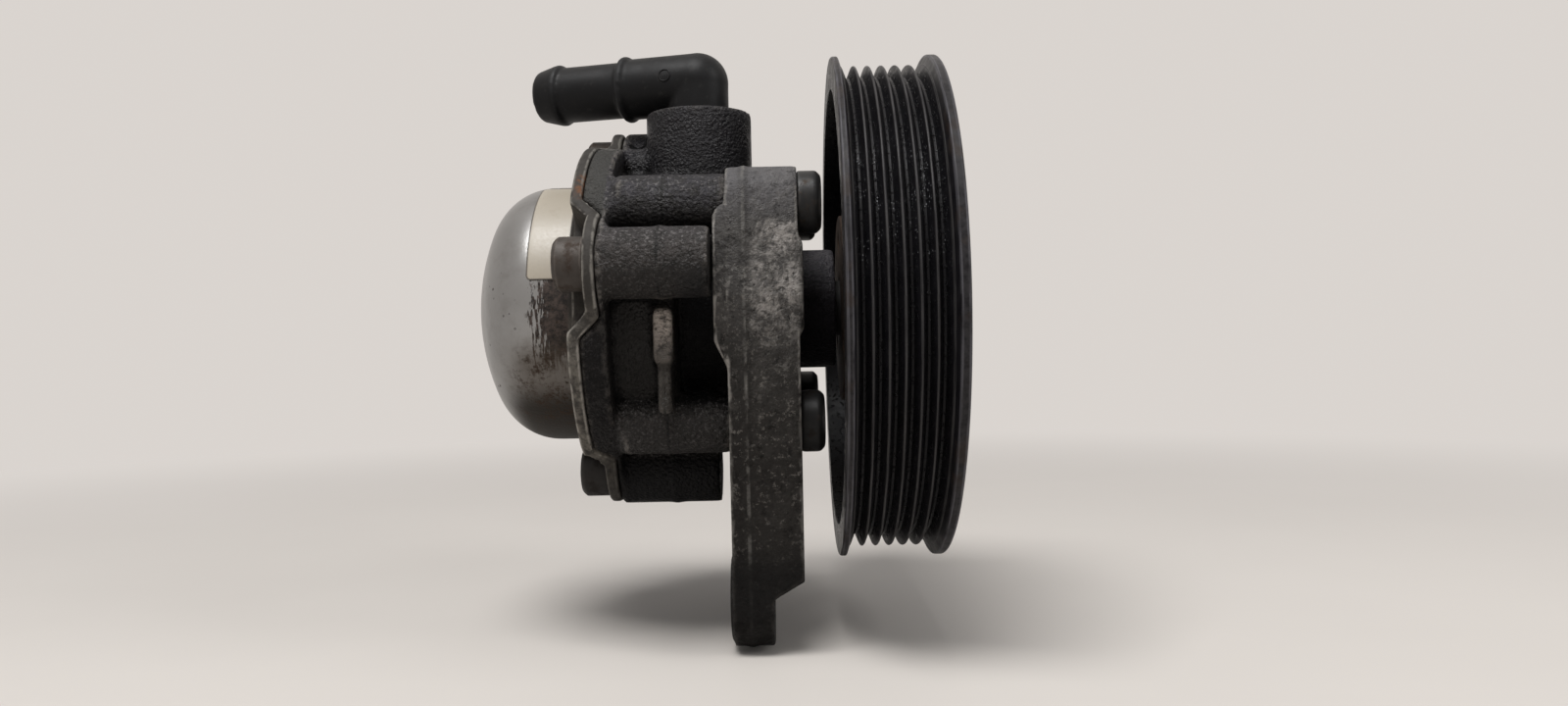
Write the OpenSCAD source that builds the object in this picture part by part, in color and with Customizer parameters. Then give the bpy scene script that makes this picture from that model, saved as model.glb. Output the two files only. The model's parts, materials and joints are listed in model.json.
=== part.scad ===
// Power steering pump: a vane pump with a drawn rear cover, a cast bracket and a ribbed pulley.
// Millimetres. +X runs along the shaft to the pulley, and +Z runs up to the suction elbow.
// The origin is on the shaft axis, in the rear face of the bracket.

/* [Pulley] */
// Diameter over the rim flanges
pulley_flange_d = 133; // [131:0.5:150]
// Diameter over the rib crests
pulley_crest_d = 128; // [122:0.5:129]
// Number of belt grooves
groove_count = 6; // [5:1:7]
// Distance from groove to groove
groove_pitch = 3.56; // [3.4:0.01:3.8]
// Depth of a groove
groove_depth = 3.1; // [2.4:0.1:3.2]
// Width of a groove at its root
groove_root = 0.7; // [0.3:0.1:0.8]
// Slope of a groove's walls from the radial direction
groove_half_angle = 20; // [17:0.5:21]
// Width of the rear rim flange
rear_lip = 2.4; // [1.8:0.1:3]
// Width of the front rim flange with its shoulder
front_lip = 3.3; // [2.4:0.1:4]
// Wall of the rim under the groove roots
rim_wall = 2.6; // [2:0.1:4]
// Thickness of the web
web_t = 3; // [2:0.1:4]
// Distance from the bracket to the rear rim flange
pulley_gap = 9.6; // [8.5:0.1:12]

/* [Drive hub] */
// Diameter of the hub's flange
hub_flange_d = 50; // [46:1:54]
// Thickness of the hub's flange
hub_flange_t = 4.5; // [3.5:0.1:6]
// Diameter of the hub's barrel
hub_barrel_d = 24; // [20:0.5:26]
// Length of the hub's barrel ahead of the flange
hub_barrel_len = 10.5; // [8:0.5:12]
// Distance from the nose to the hub's flange
hub_gap = 1.5; // [0.8:0.1:2]
// Bolt circle of the pulley bolts
pulley_bolt_pcd = 36; // [34:0.5:38]
// Diameter of a pulley bolt
pulley_bolt_d = 6; // [5:0.5:6]
// Width across the flats of a pulley bolt head
pulley_bolt_af = 10; // [9:0.5:11]
// Height of a pulley bolt head
pulley_bolt_head = 4; // [3:0.1:5]
// Diameter of the access holes in the web
access_hole_d = 14; // [10:1:15]

/* [Rear cover] */
// Outside diameter of the dome
dome_d = 68; // [67:0.5:70]
// Depth of the dome behind the cover's rim
dome_depth = 29.4; // [29:0.1:34]
// Radius of the dome's corner
dome_knuckle_r = 16; // [14:0.5:17]
// Radius of the dome's crown
dome_crown_r = 57; // [50:1:70]
// Thickness of the drawn sheet
cover_sheet = 3; // [2.6:0.1:3.2]
// Diameter of the cover's rim
cover_rim_d = 89; // [87:0.5:92]
// Bolt circle of the cover bolts
cover_bolt_pcd = 86.4; // [85:0.2:89]
// Angle of the first cover bolt, from +Y towards +Z
cover_bolt_angle = 166.6; // [160:0.2:172]
// Radius of the sunk seat round a cover bolt
pad_r = 14; // [12:0.5:15]
// Depth of the sunk seats below the rim
pad_sink = 5; // [4:0.1:5.4]
// Width of the sloped wall round a seat
pad_slope = 5; // [3:0.5:6]
// Diameter of a cover bolt
cover_bolt_d = 8; // [6:0.5:9]
// Diameter of a cover bolt head
cover_head_d = 13; // [11:0.5:14]
// Height of a cover bolt head
cover_head_h = 7.4; // [5:0.1:9]
// Length of a cover bolt below its head
cover_bolt_len = 15; // [12:0.5:16]

/* [Pump housing] */
// Length of the housing behind the bracket
housing_len = 34.6; // [34:0.1:38]
// Diameter of the barrel
barrel_d = 74; // [72:0.5:78]
// Diameter of the neck between barrel and bracket
neck_d = 54; // [50:0.5:56]
// Length of the neck
neck_len = 13; // [9:0.5:14]
// Thickness of the rear flange
rear_flange_t = 6.4; // [6:0.1:9]
// Diameter of the nose that carries the bearing
nose_d = 32; // [31.5:0.1:34]
// Length of the nose ahead of the bracket's front face
nose_reach = 10; // [9:0.1:12]
// Diameter of the boss round a bracket bolt
bracket_boss_d = 15; // [13:0.5:16]
// Length of the bosses round the bracket bolts
bracket_boss_len = 26.5; // [20:0.5:28]
// Diameter of the boss round a cover bolt
cover_boss_d = 17; // [15:0.5:18]
// Gap from the cover bolt bosses to the bracket's plane
cover_boss_gap = 3.6; // [3.3:0.1:6]
// Height of the raised line where the casting mould parted
parting_height = 0.4; // [0.2:0.1:0.6]
// Width of that line
parting_w = 1; // [0.6:0.1:2]
// Distance from the bracket to that line
parting_back = 15.2; // [14.5:0.1:17]

/* [Suction side] */
// Diameter of the suction boss
suction_boss_d = 28.4; // [26:0.2:30]
// Distance of the suction boss's axis behind the bracket's rear face
suction_back = 8.4; // [7:0.1:10]
// Height of the suction boss's top above the shaft axis
suction_top = 53.3; // [50:0.1:58]
// Outside diameter of the elbow
elbow_d = 16.4; // [15:0.1:18]
// Bore of the elbow
elbow_bore_d = 11.2; // [8:0.1:11.6]
// Height of the elbow's outlet axis above the suction boss
elbow_rise = 8.7; // [8.6:0.1:14]
// Turn of the elbow's outlet from straight back
elbow_turn = 15; // [0:1:40]
// Length of the elbow's outlet
outlet_len = 46.9; // [40:0.1:60]
// Diameter of the hose seat
hose_d = 15.2; // [14.5:0.1:16]
// Diameter of the barb
barb_d = 16.8; // [16.2:0.1:18]
// Diameter of the stop bead
bead_d = 18; // [17:0.1:20]
// Distance of the stop bead from the elbow's upright axis
bead_at = 20.3; // [15:0.1:24]
// Depth of the spigot in the boss
spigot_len = 18; // [14:0.5:20]

/* [Bracket] */
// Thickness of the bracket
bracket_t = 17.4; // [15:0.1:20]
// Thickness of the foot's ear
ear_t = 10; // [8:0.1:12]
// Bolt circle of the bracket bolts
bracket_bolt_pcd = 76.8; // [76:0.2:80]
// Turn of the bracket bolts from the diagonals
bracket_bolt_turn = 4; // [0:0.5:6]
// Diameter of a bracket bolt
bracket_bolt_d = 8; // [6:0.5:8.5]
// Diameter of a bracket bolt head
bracket_head_d = 15.5; // [13:0.5:16]
// Height of a bracket bolt head
bracket_head_h = 6; // [4:0.1:7]
// Length of a bracket bolt in the housing
bracket_bolt_grip = 11; // [8:0.5:11.5]
// Diameter of the mounting holes
mount_hole_d = 9; // [6:0.5:10]
// Diameter of the mounting ears
ear_d = 24; // [20:0.5:26]
// Height of the machined seats on the mounting ears
seat_h = 0.8; // [0.4:0.1:1.5]

/* [Pumping set] */
// Diameter of the shaft
shaft_d = 15; // [14:0.1:15.4]
// Diameter of the cam ring
cam_d = 52; // [50:0.5:54]
// Smallest radius of the cam track
cam_minor_r = 19.2; // [18.5:0.1:19.6]
// Lift of the cam track
cam_lift = 0.9; // [0.5:0.1:1.1]
// Width of the cam ring
cam_w = 11; // [9:0.1:11.4]
// Thickness of the thrust plate
thrust_t = 4; // [3:0.1:4.4]
// Thickness of the pressure plate
pressure_t = 4; // [3:0.1:4.4]
// Diameter of the pressure plate
pressure_d = 45; // [43:0.5:47]
// Number of vanes
vane_count = 10; // [8:1:12]
// Thickness of a vane
vane_t = 1.5; // [1.2:0.1:2]
// Radial length of a vane
vane_len = 6; // [5:0.1:7]

/* [Bearing] */
// Outside diameter of the bearing
bearing_d = 28; // [27.5:0.1:28.4]
// Width of the bearing
bearing_w = 8; // [7:0.1:8.4]
// Diameter of a ball
ball_d = 3.8; // [3.4:0.1:4]
// Number of balls
ball_count = 10; // [8:1:11]

/* [Flow valve] */
// Diameter of the spool
spool_d = 14; // [12:0.1:14.4]
// Length of the spool
spool_len = 25.6; // [22:0.1:27]
// Travel of the spool
spool_travel = 8; // [5:0.5:9]
// Diameter of the plug's thread
plug_d = 16; // [15:0.1:17]
// Width across the flats of the plug's head
plug_af = 17; // [16:0.5:19]
// Height of the plug's head
plug_head = 5; // [4:0.1:6]
// Diameter of the pressure outlet's thread at its crests
pressure_port_d = 14.5; // [12:0.1:16]
// Depth of the pressure outlet's thread
pressure_port_depth = 11; // [9:0.5:12]

/* [Hidden] */
$fn = 48;
// Clearances: pressed or screwed seats, running fits, and faces that pass each other
seat_gap = 0.05;
run_gap = 0.03;
pass_gap = 0.3;
// Room between a bolt head and the wall beside it
head_clear = 2;
// A cut runs this far past the face that it opens
past = 1;

// Places along the shaft
bracket_front = bracket_t;
nose_front = bracket_front + nose_reach;
pulley_rear = bracket_front + pulley_gap;
pulley_w = rear_lip + groove_count * groove_pitch + front_lip;
pulley_front = pulley_rear + pulley_w;
hub_rear = nose_front + hub_gap;
web_rear = hub_rear + hub_flange_t;
web_front = web_rear + web_t;
shaft_front = web_rear + hub_barrel_len;
cover_face = -housing_len;
rim_rear = cover_face - cover_sheet;
pad_face = cover_face + pad_sink;
pad_rear = pad_face - cover_sheet;
dome_end = rim_rear - dome_depth;
register_len = 3.5;
pack_front = cover_face - register_len;
cam_front = pack_front - thrust_t;
cam_rear = cam_front - cam_w;
pressure_rear = cam_rear - pressure_t;
parting_x = -parting_back;
suction_x = -suction_back;

// Radii and patterns across the shaft
dome_r = dome_d / 2;
rim_r = cover_rim_d / 2;
barrel_r = barrel_d / 2;
nose_r = nose_d / 2;
shaft_r = shaft_d / 2;
cover_bolt_r = max(cover_bolt_pcd / 2, dome_r + cover_head_d / 2 + head_clear);
bracket_bolt_r = bracket_bolt_pcd / 2;
cover_angles = [for (i = [0:3]) cover_bolt_angle + 90 * i];
bracket_angles = [for (i = [0:3]) 45 + bracket_bolt_turn + 90 * i];
pulley_bolt_angles = [90, 210, 330];
crest_r = pulley_crest_d / 2;
flange_r = pulley_flange_d / 2;
root_r = crest_r - groove_depth;
rim_in_r = root_r - rim_wall;
wall_clear_r = dome_r + 2.5;
seat_run = pad_slope / pad_sink;
seat_r = pad_r - pad_slope / 2;
seat_grow = cover_sheet * (sqrt(1 + seat_run * seat_run) - 1) / seat_run;

// Dome arcs: the knuckle is tangent to the wall and to the crown
crown_x = dome_end + dome_crown_r;
knuckle_c = dome_r - dome_knuckle_r;
knuckle_x = crown_x - sqrt(pow(dome_crown_r - dome_knuckle_r, 2) - knuckle_c * knuckle_c);
knuckle_turn = asin(knuckle_c / (dome_crown_r - dome_knuckle_r));

// Seats inside the housing
bush_r = shaft_r + 1.7;
bush_len = 16;
bush_rear = cover_face + 1;
bearing_r = bearing_d / 2;
clip_t = 1.2;
clip_depth = 0.8;
clip_rear = nose_front - 3.2;
bearing_rear = clip_rear - bearing_w;
seal_r = shaft_r + 4.5;
seal_w = 7;
seal_front = bearing_rear - 0.5;
pitch_r = (shaft_r + bearing_r) / 2;
ball_r = ball_d / 2;
shoulder_r = ball_r - 0.75;
elbow_clip_z = suction_top - 6;
elbow_seal_z = suction_top - 13;

// Seal rings: radius of the ring's section, and the grooves that hold them
cover_seal_r = 0.85;
cover_seal_x = cover_face - 1.5;
elbow_seal_r = 0.7;
plug_seal_r = 0.72;
ring_room = 0.4;
drilling_r = 4;

// Locating pins of the pumping set
pin_d = 4;
pin_r = cam_d / 2 - 3.2;
pin_angles = [0, 180];
pin_depth = 5;

// Flow valve: an upright bore beside the shaft
valve_x = -20;
valve_y = 27;
valve_boss_r = 11;
valve_top = 18;
spool_r = spool_d / 2;
spool_bore_r = spool_r + run_gap + 0.01;
spool_top = valve_top - 0.2;
spool_bottom = spool_top - spool_len;
spring_room = 22.2;
plug_top = spool_bottom - spool_travel - spring_room;
valve_bottom = plug_top - plug_d / 2;
plug_seal_z = (valve_bottom + plug_top) / 2;
port_mouth = 48;
port_z = 6;
port_boss_r = 11.5;
relief_r = 3.4;
relief_ball_r = 2.2;
relief_seat_t = 3;
relief_seat_r = relief_ball_r / 2;
relief_ball_z = spool_bottom + relief_seat_t + sqrt(pow(relief_ball_r, 2) - pow(relief_seat_r, 2)) + seat_gap;
relief_top = spool_top - 6;

// Rotor, vanes and the ends of the shaft
rotor_r = cam_minor_r - pass_gap;
rotor_gap = 0.04;
vane_angles = [for (i = [0:vane_count - 1]) 360 * (i + 0.5) / vane_count];
vane_tip = rotor_r + 0.12;
shaft_tail = cam_rear - pressure_t + 1.8;
hub_seat_r = shaft_r - 0.5;
rotor_clip_x = cam_front + thrust_t / 4;

// Mounting ears: foot, far lower and far upper, as Y and Z
foot = [-24, -73];
far_low = [46, -50];
far_high = [58, 24];
ears = [foot, far_low, far_high];
foot_cut = -71.5;
// Points of the bracket's outline: on the near side, and the root of the far upper arm
near_side = [-33, 2];
outline_wall = 1.2;
arm_root = [20, 10];

// Points on an arc from one angle to another
function arc(centre, r, from, to, steps) =
  [for (i = [0:steps]) let (a = from + (to - from) * i / steps) centre + r * [cos(a), sin(a)]];

// A round bar along the shaft
module bar(x0, x1, r) {
  translate([x0, 0, 0]) rotate([0, 90, 0]) cylinder(h = x1 - x0, r = r);
}

// A profile in radius and X, turned about the shaft
module turned() {
  rotate([0, 90, 0]) rotate_extrude() children();
}

// A flat outline in Y and Z, made thick along the shaft
module plate(x0, x1) {
  translate([x0, 0, 0]) rotate([90, 0, 90]) linear_extrude(height = x1 - x0) children();
}

// A flat outline in X and Z, made thick across the shaft
module slab(y0, y1) {
  translate([0, y1, 0]) rotate([90, 0, 0]) linear_extrude(height = y1 - y0) children();
}

// Copies round the shaft
module around(r, angles) {
  for (a = angles) translate([0, r * cos(a), r * sin(a)]) children();
}

// A ring with a round section, turned about the shaft
module seal_ring(x, r, section_r) {
  turned() translate([r, x]) circle(r = section_r);
}

// A spring coil about Z from one height to another
module coil(r, wire_r, z0, z1, turns) {
  sides = 8;
  steps = 20 * turns;
  rise = z1 - z0 - 2 * wire_r;
  points = [for (i = [0:steps]) for (k = [0:sides - 1])
    let (a = 360 * turns * i / steps, b = 360 * k / sides, d = r + wire_r * cos(b))
    [d * cos(a), d * sin(a), z0 + wire_r + rise * i / steps + wire_r * sin(b)]];
  walls = [for (i = [0:steps - 1]) for (k = [0:sides - 1])
    let (p = i * sides + k, q = i * sides + (k + 1) % sides)
    each [[p, q + sides, q], [p, p + sides, q + sides]]];
  near_end = [for (k = [0:sides - 1]) k];
  far_end = [for (k = [sides - 1:-1:0]) steps * sides + k];
  polyhedron(points = points, faces = concat(walls, [near_end, far_end]));
}

// Outline of the cover's rim and of the housing's rear flange: a disc with a lobe at each bolt
module cover_outline(grow) {
  circle(r = rim_r + grow);
  for (a = cover_angles) rotate(a) translate([cover_bolt_r - 6, 0]) circle(r = pad_r + grow);
}

// Sunk seats round the cover bolts: a cone at each bolt with its narrow end at x, clear of the dome's wall
module seat_cones(x, grow, wall_r) {
  depth = pad_sink + past;
  difference() {
    around(cover_bolt_r, cover_angles) translate([x - depth, 0, 0]) rotate([0, 90, 0])
      cylinder(h = depth, r1 = seat_r + grow + depth * seat_run, r2 = seat_r + grow);
    bar(x - depth - past, x + past, wall_r);
  }
}

// Profile of the dome, in radius and X, drawn inside the outer face by an inset
module dome_profile(inset) {
  knuckle = arc([knuckle_c, knuckle_x], dome_knuckle_r - inset, 0, -90 + knuckle_turn, 14);
  crown = arc([0, crown_x], dome_crown_r - inset, -90 + knuckle_turn, -90, 10);
  top = inset > 0 ? cover_face + past : rim_rear + cover_sheet / 2;
  polygon(concat([[0, top], [dome_r - inset, top]], knuckle, [for (i = [1:10]) crown[i]]));
}

module pump_housing() {
  color("#37373a") difference() {
    union() {
      housing_castings();
      housing_bosses();
      parting_ridges();
      side_rib();
    }
    shaft_bores();
    bolt_bores();
    suction_bores();
    valve_bores();
    seat_cones(pad_face, seat_grow + seat_gap, wall_clear_r - cover_sheet - seat_gap);
  }
}

module housing_castings() {
  bar(-neck_len - past, 0, neck_d / 2);
  bar(cover_face, -neck_len, barrel_r);
  bar(-past, nose_front, nose_r);
  bar(pack_front, cover_face + past, dome_r - cover_sheet - seat_gap);
  plate(cover_face, cover_face + rear_flange_t) cover_outline(-0.5);
}

module housing_bosses() {
  around(bracket_bolt_r, bracket_angles) bar(-bracket_boss_len, 0, bracket_boss_d / 2);
  around(cover_bolt_r, cover_angles) bar(pad_face - seat_gap, -cover_boss_gap, cover_boss_d / 2);
  translate([suction_x, 0, neck_d / 4]) cylinder(h = suction_top - neck_d / 4, r = suction_boss_d / 2);
  translate([0, 0, barrel_r + 2]) bar(cover_face + rear_flange_t / 2, suction_x, 5.5);
  translate([valve_x, valve_y, valve_bottom]) cylinder(h = valve_top + 5 - valve_bottom, r = valve_boss_r);
  translate([valve_x, valve_y, port_z]) rotate([-90, 0, 0])
    cylinder(h = port_mouth - valve_y, r = port_boss_r);
}

// Raised line left where the mould halves met
module parting_ridges() {
  half = parting_w / 2;
  bar(parting_x - half, parting_x + half, barrel_r + parting_height);
  around(bracket_bolt_r, bracket_angles)
    bar(parting_x - half, parting_x + half, bracket_boss_d / 2 + parting_height);
  around(cover_bolt_r, cover_angles)
    bar(parting_x - half, parting_x + half, cover_boss_d / 2 + parting_height);
}

// Upright rib with a worn pad on the near side of the barrel
module side_rib() {
  rib_w = 3.3;
  rib_top = 0;
  rib_h = 26;
  pad_w = 5;
  pad_h = 11.5;
  translate([parting_x - rib_w / 2, -barrel_r - 2, rib_top - rib_h]) cube([rib_w, barrel_r / 2, rib_h]);
  translate([parting_x - pad_w / 2, -barrel_r - 3.5, rib_top - pad_h - 1.5])
    cube([pad_w, barrel_r / 2, pad_h]);
}

module shaft_bores() {
  bar(pack_front - past, bush_rear + bush_len, bush_r + seat_gap);
  bar(bush_rear, bearing_rear, shaft_r + 0.8);
  bar(seal_front - seal_w, bearing_rear + past, seal_r + seat_gap);
  bar(bearing_rear, nose_front + past, bearing_r + seat_gap);
  bar(clip_rear, clip_rear + clip_t + seat_gap, bearing_r + clip_depth + seat_gap);
  groove_w = 2 * cover_seal_r + ring_room;
  groove_in = 2 * (cover_seal_r + seat_gap);
  turned() translate([dome_r - cover_sheet - groove_in, cover_seal_x - groove_w / 2])
    square([groove_in + past, groove_w]);
}

module bolt_bores() {
  around(bracket_bolt_r, bracket_angles) bar(-bracket_bolt_grip - past, past, bracket_bolt_d / 2 + seat_gap);
  around(cover_bolt_r, cover_angles)
    bar(pad_rear, pad_rear + cover_bolt_len + past, cover_bolt_d / 2 + seat_gap);
  around(pin_r, pin_angles) bar(pack_front - past, pack_front + pin_depth, pin_d / 2 + seat_gap);
}

module suction_bores() {
  inlet_z = neck_d / 2 - 3;
  floor_z = suction_top - spigot_len - seat_gap;
  translate([suction_x, 0, floor_z]) cylinder(h = spigot_len + past, r = elbow_d / 2 + seat_gap);
  translate([suction_x, 0, inlet_z]) cylinder(h = floor_z - inlet_z + past, r = elbow_bore_d / 2);
  translate([0, 0, inlet_z]) bar(pack_front - past, suction_x, drilling_r);
  translate([suction_x, 0, elbow_clip_z - seat_gap])
    cylinder(h = clip_t + 2 * seat_gap, r = elbow_d / 2 + clip_depth + seat_gap);
}

module valve_bores() {
  translate([valve_x, valve_y, plug_top - past]) cylinder(h = valve_top - plug_top + past, r = spool_bore_r);
  translate([valve_x, valve_y, valve_bottom - past])
    cylinder(h = plug_top - valve_bottom + past, r = plug_d / 2 + seat_gap);
  translate([valve_x, port_mouth - pressure_port_depth, port_z]) rotate([-90, 0, 0])
    cylinder(h = pressure_port_depth + past, r = pressure_port_d / 2);
  translate([valve_x, valve_y, port_z]) rotate([-90, 0, 0])
    cylinder(h = port_mouth - valve_y, r = drilling_r);
  translate([valve_x, valve_y, valve_bottom - plug_head - past])
    cylinder(h = plug_head + past, r = plug_af / sqrt(3) + pass_gap);
}

// Bar with round ends between two points of an outline: its flanks meet the ends a hair inside them
module link(a, ra, b, rb) {
  hair = 0.01;
  way = b - a;
  turn = atan2(way[1], way[0]);
  lean = acos((ra - rb) / norm(way));
  left = [cos(turn + lean), sin(turn + lean)];
  right = [cos(turn - lean), sin(turn - lean)];
  translate(a) circle(r = ra);
  translate(b) circle(r = rb);
  polygon([a + (ra - hair) * left, b + (rb - hair) * left, b + (rb - hair) * right, a + (ra - hair) * right]);
}

function bolt_at(i) = bracket_bolt_r * [cos(bracket_angles[i % 4]), sin(bracket_angles[i % 4])];

// Bracket seen along the shaft: a body round the pump bolts and three arms
module bracket_outline(grow) {
  pad = bracket_head_d / 2 + outline_wall + grow;
  ear_r = ear_d / 2 + grow;
  polygon([for (i = [0:3]) bolt_at(i)]);
  for (i = [0:3]) link(bolt_at(i), pad, bolt_at(i + 1), pad);
  link(near_side, pad, foot, ear_r);
  link(bolt_at(1), pad, near_side, pad);
  link(bolt_at(2), pad + 5, foot, ear_r);
  link(bolt_at(3), pad + 3, far_low, ear_r);
  link(arm_root, pad + 9, far_high, ear_r);
}

module mounting_bracket() {
  color("#8d8f90") difference() {
    union() {
      plate(0, bracket_t) bracket_outline(0);
      for (e = ears) translate([0, e[0], e[1]]) bar(-seat_h, ear_t, ear_d / 2 - 1.5);
      near_pads();
      plate(bracket_t / 4 - parting_w / 2, bracket_t / 4 + parting_w / 2) bracket_outline(parting_height);
    }
    bar(-past, bracket_t + past, nose_r + seat_gap);
    around(bracket_bolt_r, bracket_angles) bar(-past, bracket_t + past, bracket_bolt_d / 2 + pass_gap);
    for (e = ears) translate([0, e[0], e[1]]) bar(-seat_h - past, bracket_t + past, mount_hole_d / 2);
    for (e = ears) translate([0, e[0], e[1]]) bar(ear_t, bracket_t + past, ear_d / 2 - 2.2);
    foot_step();
    translate([suction_x, 0, 0]) cylinder(h = suction_top, r = suction_boss_d / 2 + 1);
    around(bracket_bolt_r, bracket_angles) bar(-bracket_boss_len, 0, bracket_boss_d / 2 + 0.8);
  }
}

// Cut that thins the foot down to its ear, with a sloped shoulder
module foot_step() {
  shoulder = 4.3;
  front = bracket_t + past;
  shoulder_z = foot_cut + shoulder * (front - ear_t) / (bracket_t - ear_t);
  low_z = foot_cut - ear_d;
  slab(foot[0] - ear_d, foot[0] + ear_d)
    polygon([[ear_t, foot_cut], [front, shoulder_z], [front, low_z], [ear_t, low_z]]);
}

// A raised pad in X and Z: it stands on the line x, reaches out from it, and has sloped ends
module pad_section(x, reach, z, slope) {
  root = reach < 0 ? x + past : x - past;
  polygon([
    [root, z[0]], [x, z[0]], [x + reach, z[0] + slope], [x + reach, z[1] - slope], [x, z[1]], [root, z[1]]
  ]);
}

// Thick places of the bracket on the near side, behind and ahead of its plate
module near_pads() {
  outer_y = near_side[0] - bracket_head_d;
  inner_y = near_side[0] - 2;
  inset = 0.6;
  rear_reach = 3.1;
  rear_z = [-15.4, 28];
  rear_slope = 6.6;
  front_reach = 1.1;
  front_z = [-8, 16.5];
  front_slope = 2;
  intersection() {
    slab(outer_y, inner_y) {
      pad_section(0, -rear_reach, rear_z, rear_slope);
      pad_section(bracket_t, front_reach, front_z, front_slope);
    }
    plate(-rear_reach - past, bracket_t + front_reach + past) bracket_outline(-inset);
  }
}

// Socket head bolts: the head stands at x and the shank runs the way of the sign
module socket_bolt(x, sign, head_d, head_h, d, length) {
  socket_af = 0.75 * d;
  edge = head_d / 12;
  flip = sign < 0 ? 180 : 0;
  translate([x, 0, 0]) rotate([0, 0, flip]) difference() {
    union() {
      bar(edge - head_h, 0, head_d / 2);
      translate([-head_h, 0, 0]) rotate([0, 90, 0])
        cylinder(h = edge, r1 = head_d / 2 - edge, r2 = head_d / 2);
      bar(-past, length, d / 2);
    }
    translate([-head_h - past, 0, 0]) rotate([0, 90, 0])
      cylinder(h = head_h / 2 + past, r = socket_af / sqrt(3), $fn = 6);
  }
}

module bracket_bolts() {
  length = bracket_t + bracket_bolt_grip;
  color("#2c2d30") around(bracket_bolt_r, bracket_angles)
    socket_bolt(bracket_front, -1, bracket_head_d, bracket_head_h, bracket_bolt_d, length);
}

module cover_bolts() {
  color("#5a4d45") around(cover_bolt_r, cover_angles)
    socket_bolt(pad_rear, 1, cover_head_d, cover_head_h, cover_bolt_d, cover_bolt_len);
}

// Drawn cover: dome, rim, and a sunk seat at each bolt, all of one sheet
module rear_cover() {
  color("#a9a9a6") difference() {
    union() {
      turned() dome_profile(0);
      difference() {
        plate(rim_rear, pad_face) cover_outline(0);
        seat_cones(pad_rear, 0, wall_clear_r);
        difference() {
          plate(cover_face, pad_face + past) cover_outline(past);
          seat_cones(pad_face, seat_grow, wall_clear_r - cover_sheet);
        }
      }
    }
    turned() dome_profile(cover_sheet);
    around(cover_bolt_r, cover_angles) bar(rim_rear - past, pad_face + past, cover_bolt_d / 2 + pass_gap);
  }
}

module cover_seal() {
  color("#1b1b1c") seal_ring(cover_seal_x, dome_r - cover_sheet - cover_seal_r - seat_gap, cover_seal_r);
}

module suction_elbow() {
  r = elbow_d / 2;
  bore = elbow_bore_d / 2;
  bend_z = suction_top + elbow_rise;
  color("#222326") translate([suction_x, 0, 0]) difference() {
    union() {
      translate([0, 0, suction_top - spigot_len]) cylinder(h = spigot_len + elbow_rise, r = r);
      translate([0, 0, bend_z]) sphere(r = r + seat_gap);
      translate([0, 0, bend_z]) rotate([0, 0, 180 - elbow_turn]) outlet_tube();
    }
    translate([0, 0, suction_top - spigot_len - past]) cylinder(h = spigot_len + elbow_rise + past, r = bore);
    translate([0, 0, bend_z]) sphere(r = bore + seat_gap);
    translate([0, 0, bend_z]) rotate([0, 0, 180 - elbow_turn]) bar(0, outlet_len + past, bore);
    elbow_groove(elbow_clip_z, clip_t, clip_depth);
    elbow_groove(elbow_seal_z - elbow_seal_r - ring_room, 2 * (elbow_seal_r + ring_room), 2 * elbow_seal_r);
  }
}

// Groove round the elbow's spigot
module elbow_groove(z, width, depth) {
  r = elbow_d / 2;
  translate([0, 0, z - seat_gap]) difference() {
    cylinder(h = width + 2 * seat_gap, r = r + past);
    translate([0, 0, -past]) cylinder(h = width + 2 * past + 1, r = r - depth);
  }
}

// Outlet of the elbow along +X: plain tube, stop bead, hose seat, barb and tapered tip
module outlet_tube() {
  barb_at = outlet_len - 7.6;
  tip_r = hose_d / 2 - 0.6;
  rotate([0, 90, 0]) rotate_extrude() polygon([
    [0, 0], [elbow_d / 2, 0], [elbow_d / 2, bead_at - 1], [bead_d / 2 - 0.4, bead_at - 1],
    [bead_d / 2, bead_at - 0.6], [bead_d / 2, bead_at + 0.6], [bead_d / 2 - 0.4, bead_at + 1],
    [hose_d / 2, bead_at + 1.2], [hose_d / 2, barb_at], [barb_d / 2, barb_at + 0.3],
    [barb_d / 2, barb_at + 1.5], [tip_r, outlet_len - 0.8], [tip_r - 0.8, outlet_len], [0, outlet_len]
  ]);
}

module elbow_seal() {
  color("#1b1b1c") translate([suction_x, 0, elbow_seal_z])
    rotate_extrude() translate([elbow_d / 2 - elbow_seal_r, 0]) circle(r = elbow_seal_r);
}

// Wire clip that sits half in the elbow and half in the boss
module elbow_clip() {
  r = elbow_d / 2;
  gap_w = 4;
  color("#9a9a9c") translate([suction_x, 0, elbow_clip_z]) difference() {
    cylinder(h = clip_t, r = r + clip_depth);
    translate([0, 0, -past]) cylinder(h = clip_t + 2 * past, r = r - clip_depth + seat_gap);
    translate([0, -gap_w / 2, -past]) cube([2 * r, gap_w, clip_t + 2 * past]);
  }
}

module rear_bush() {
  color("#b08d57") difference() {
    bar(bush_rear, bush_rear + bush_len - seat_gap, bush_r);
    bar(bush_rear - past, bush_rear + bush_len + past, shaft_r + run_gap);
  }
}

// Lip seal: a case with a lip that leans on the shaft
module shaft_seal() {
  rear = seal_front - seal_w + seat_gap;
  front = seal_front - seat_gap;
  wall = 1.2;
  lip_r = shaft_r + run_gap;
  color("#262628") turned() polygon([
    [seal_r, rear], [seal_r, front], [shaft_r + 0.8, front], [lip_r + 0.4, rear + 3.4], [lip_r, rear + 2.8],
    [lip_r, rear + 2.2], [lip_r + 1.6, rear + 1.4], [lip_r + 2, front - wall], [seal_r - wall, front - wall],
    [seal_r - wall, rear]
  ]);
}

// Ball track: a groove round the races a little wider than the balls
module ball_track() {
  turned() translate([pitch_r, bearing_rear + bearing_w / 2]) circle(r = ball_r + seat_gap);
}

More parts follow.
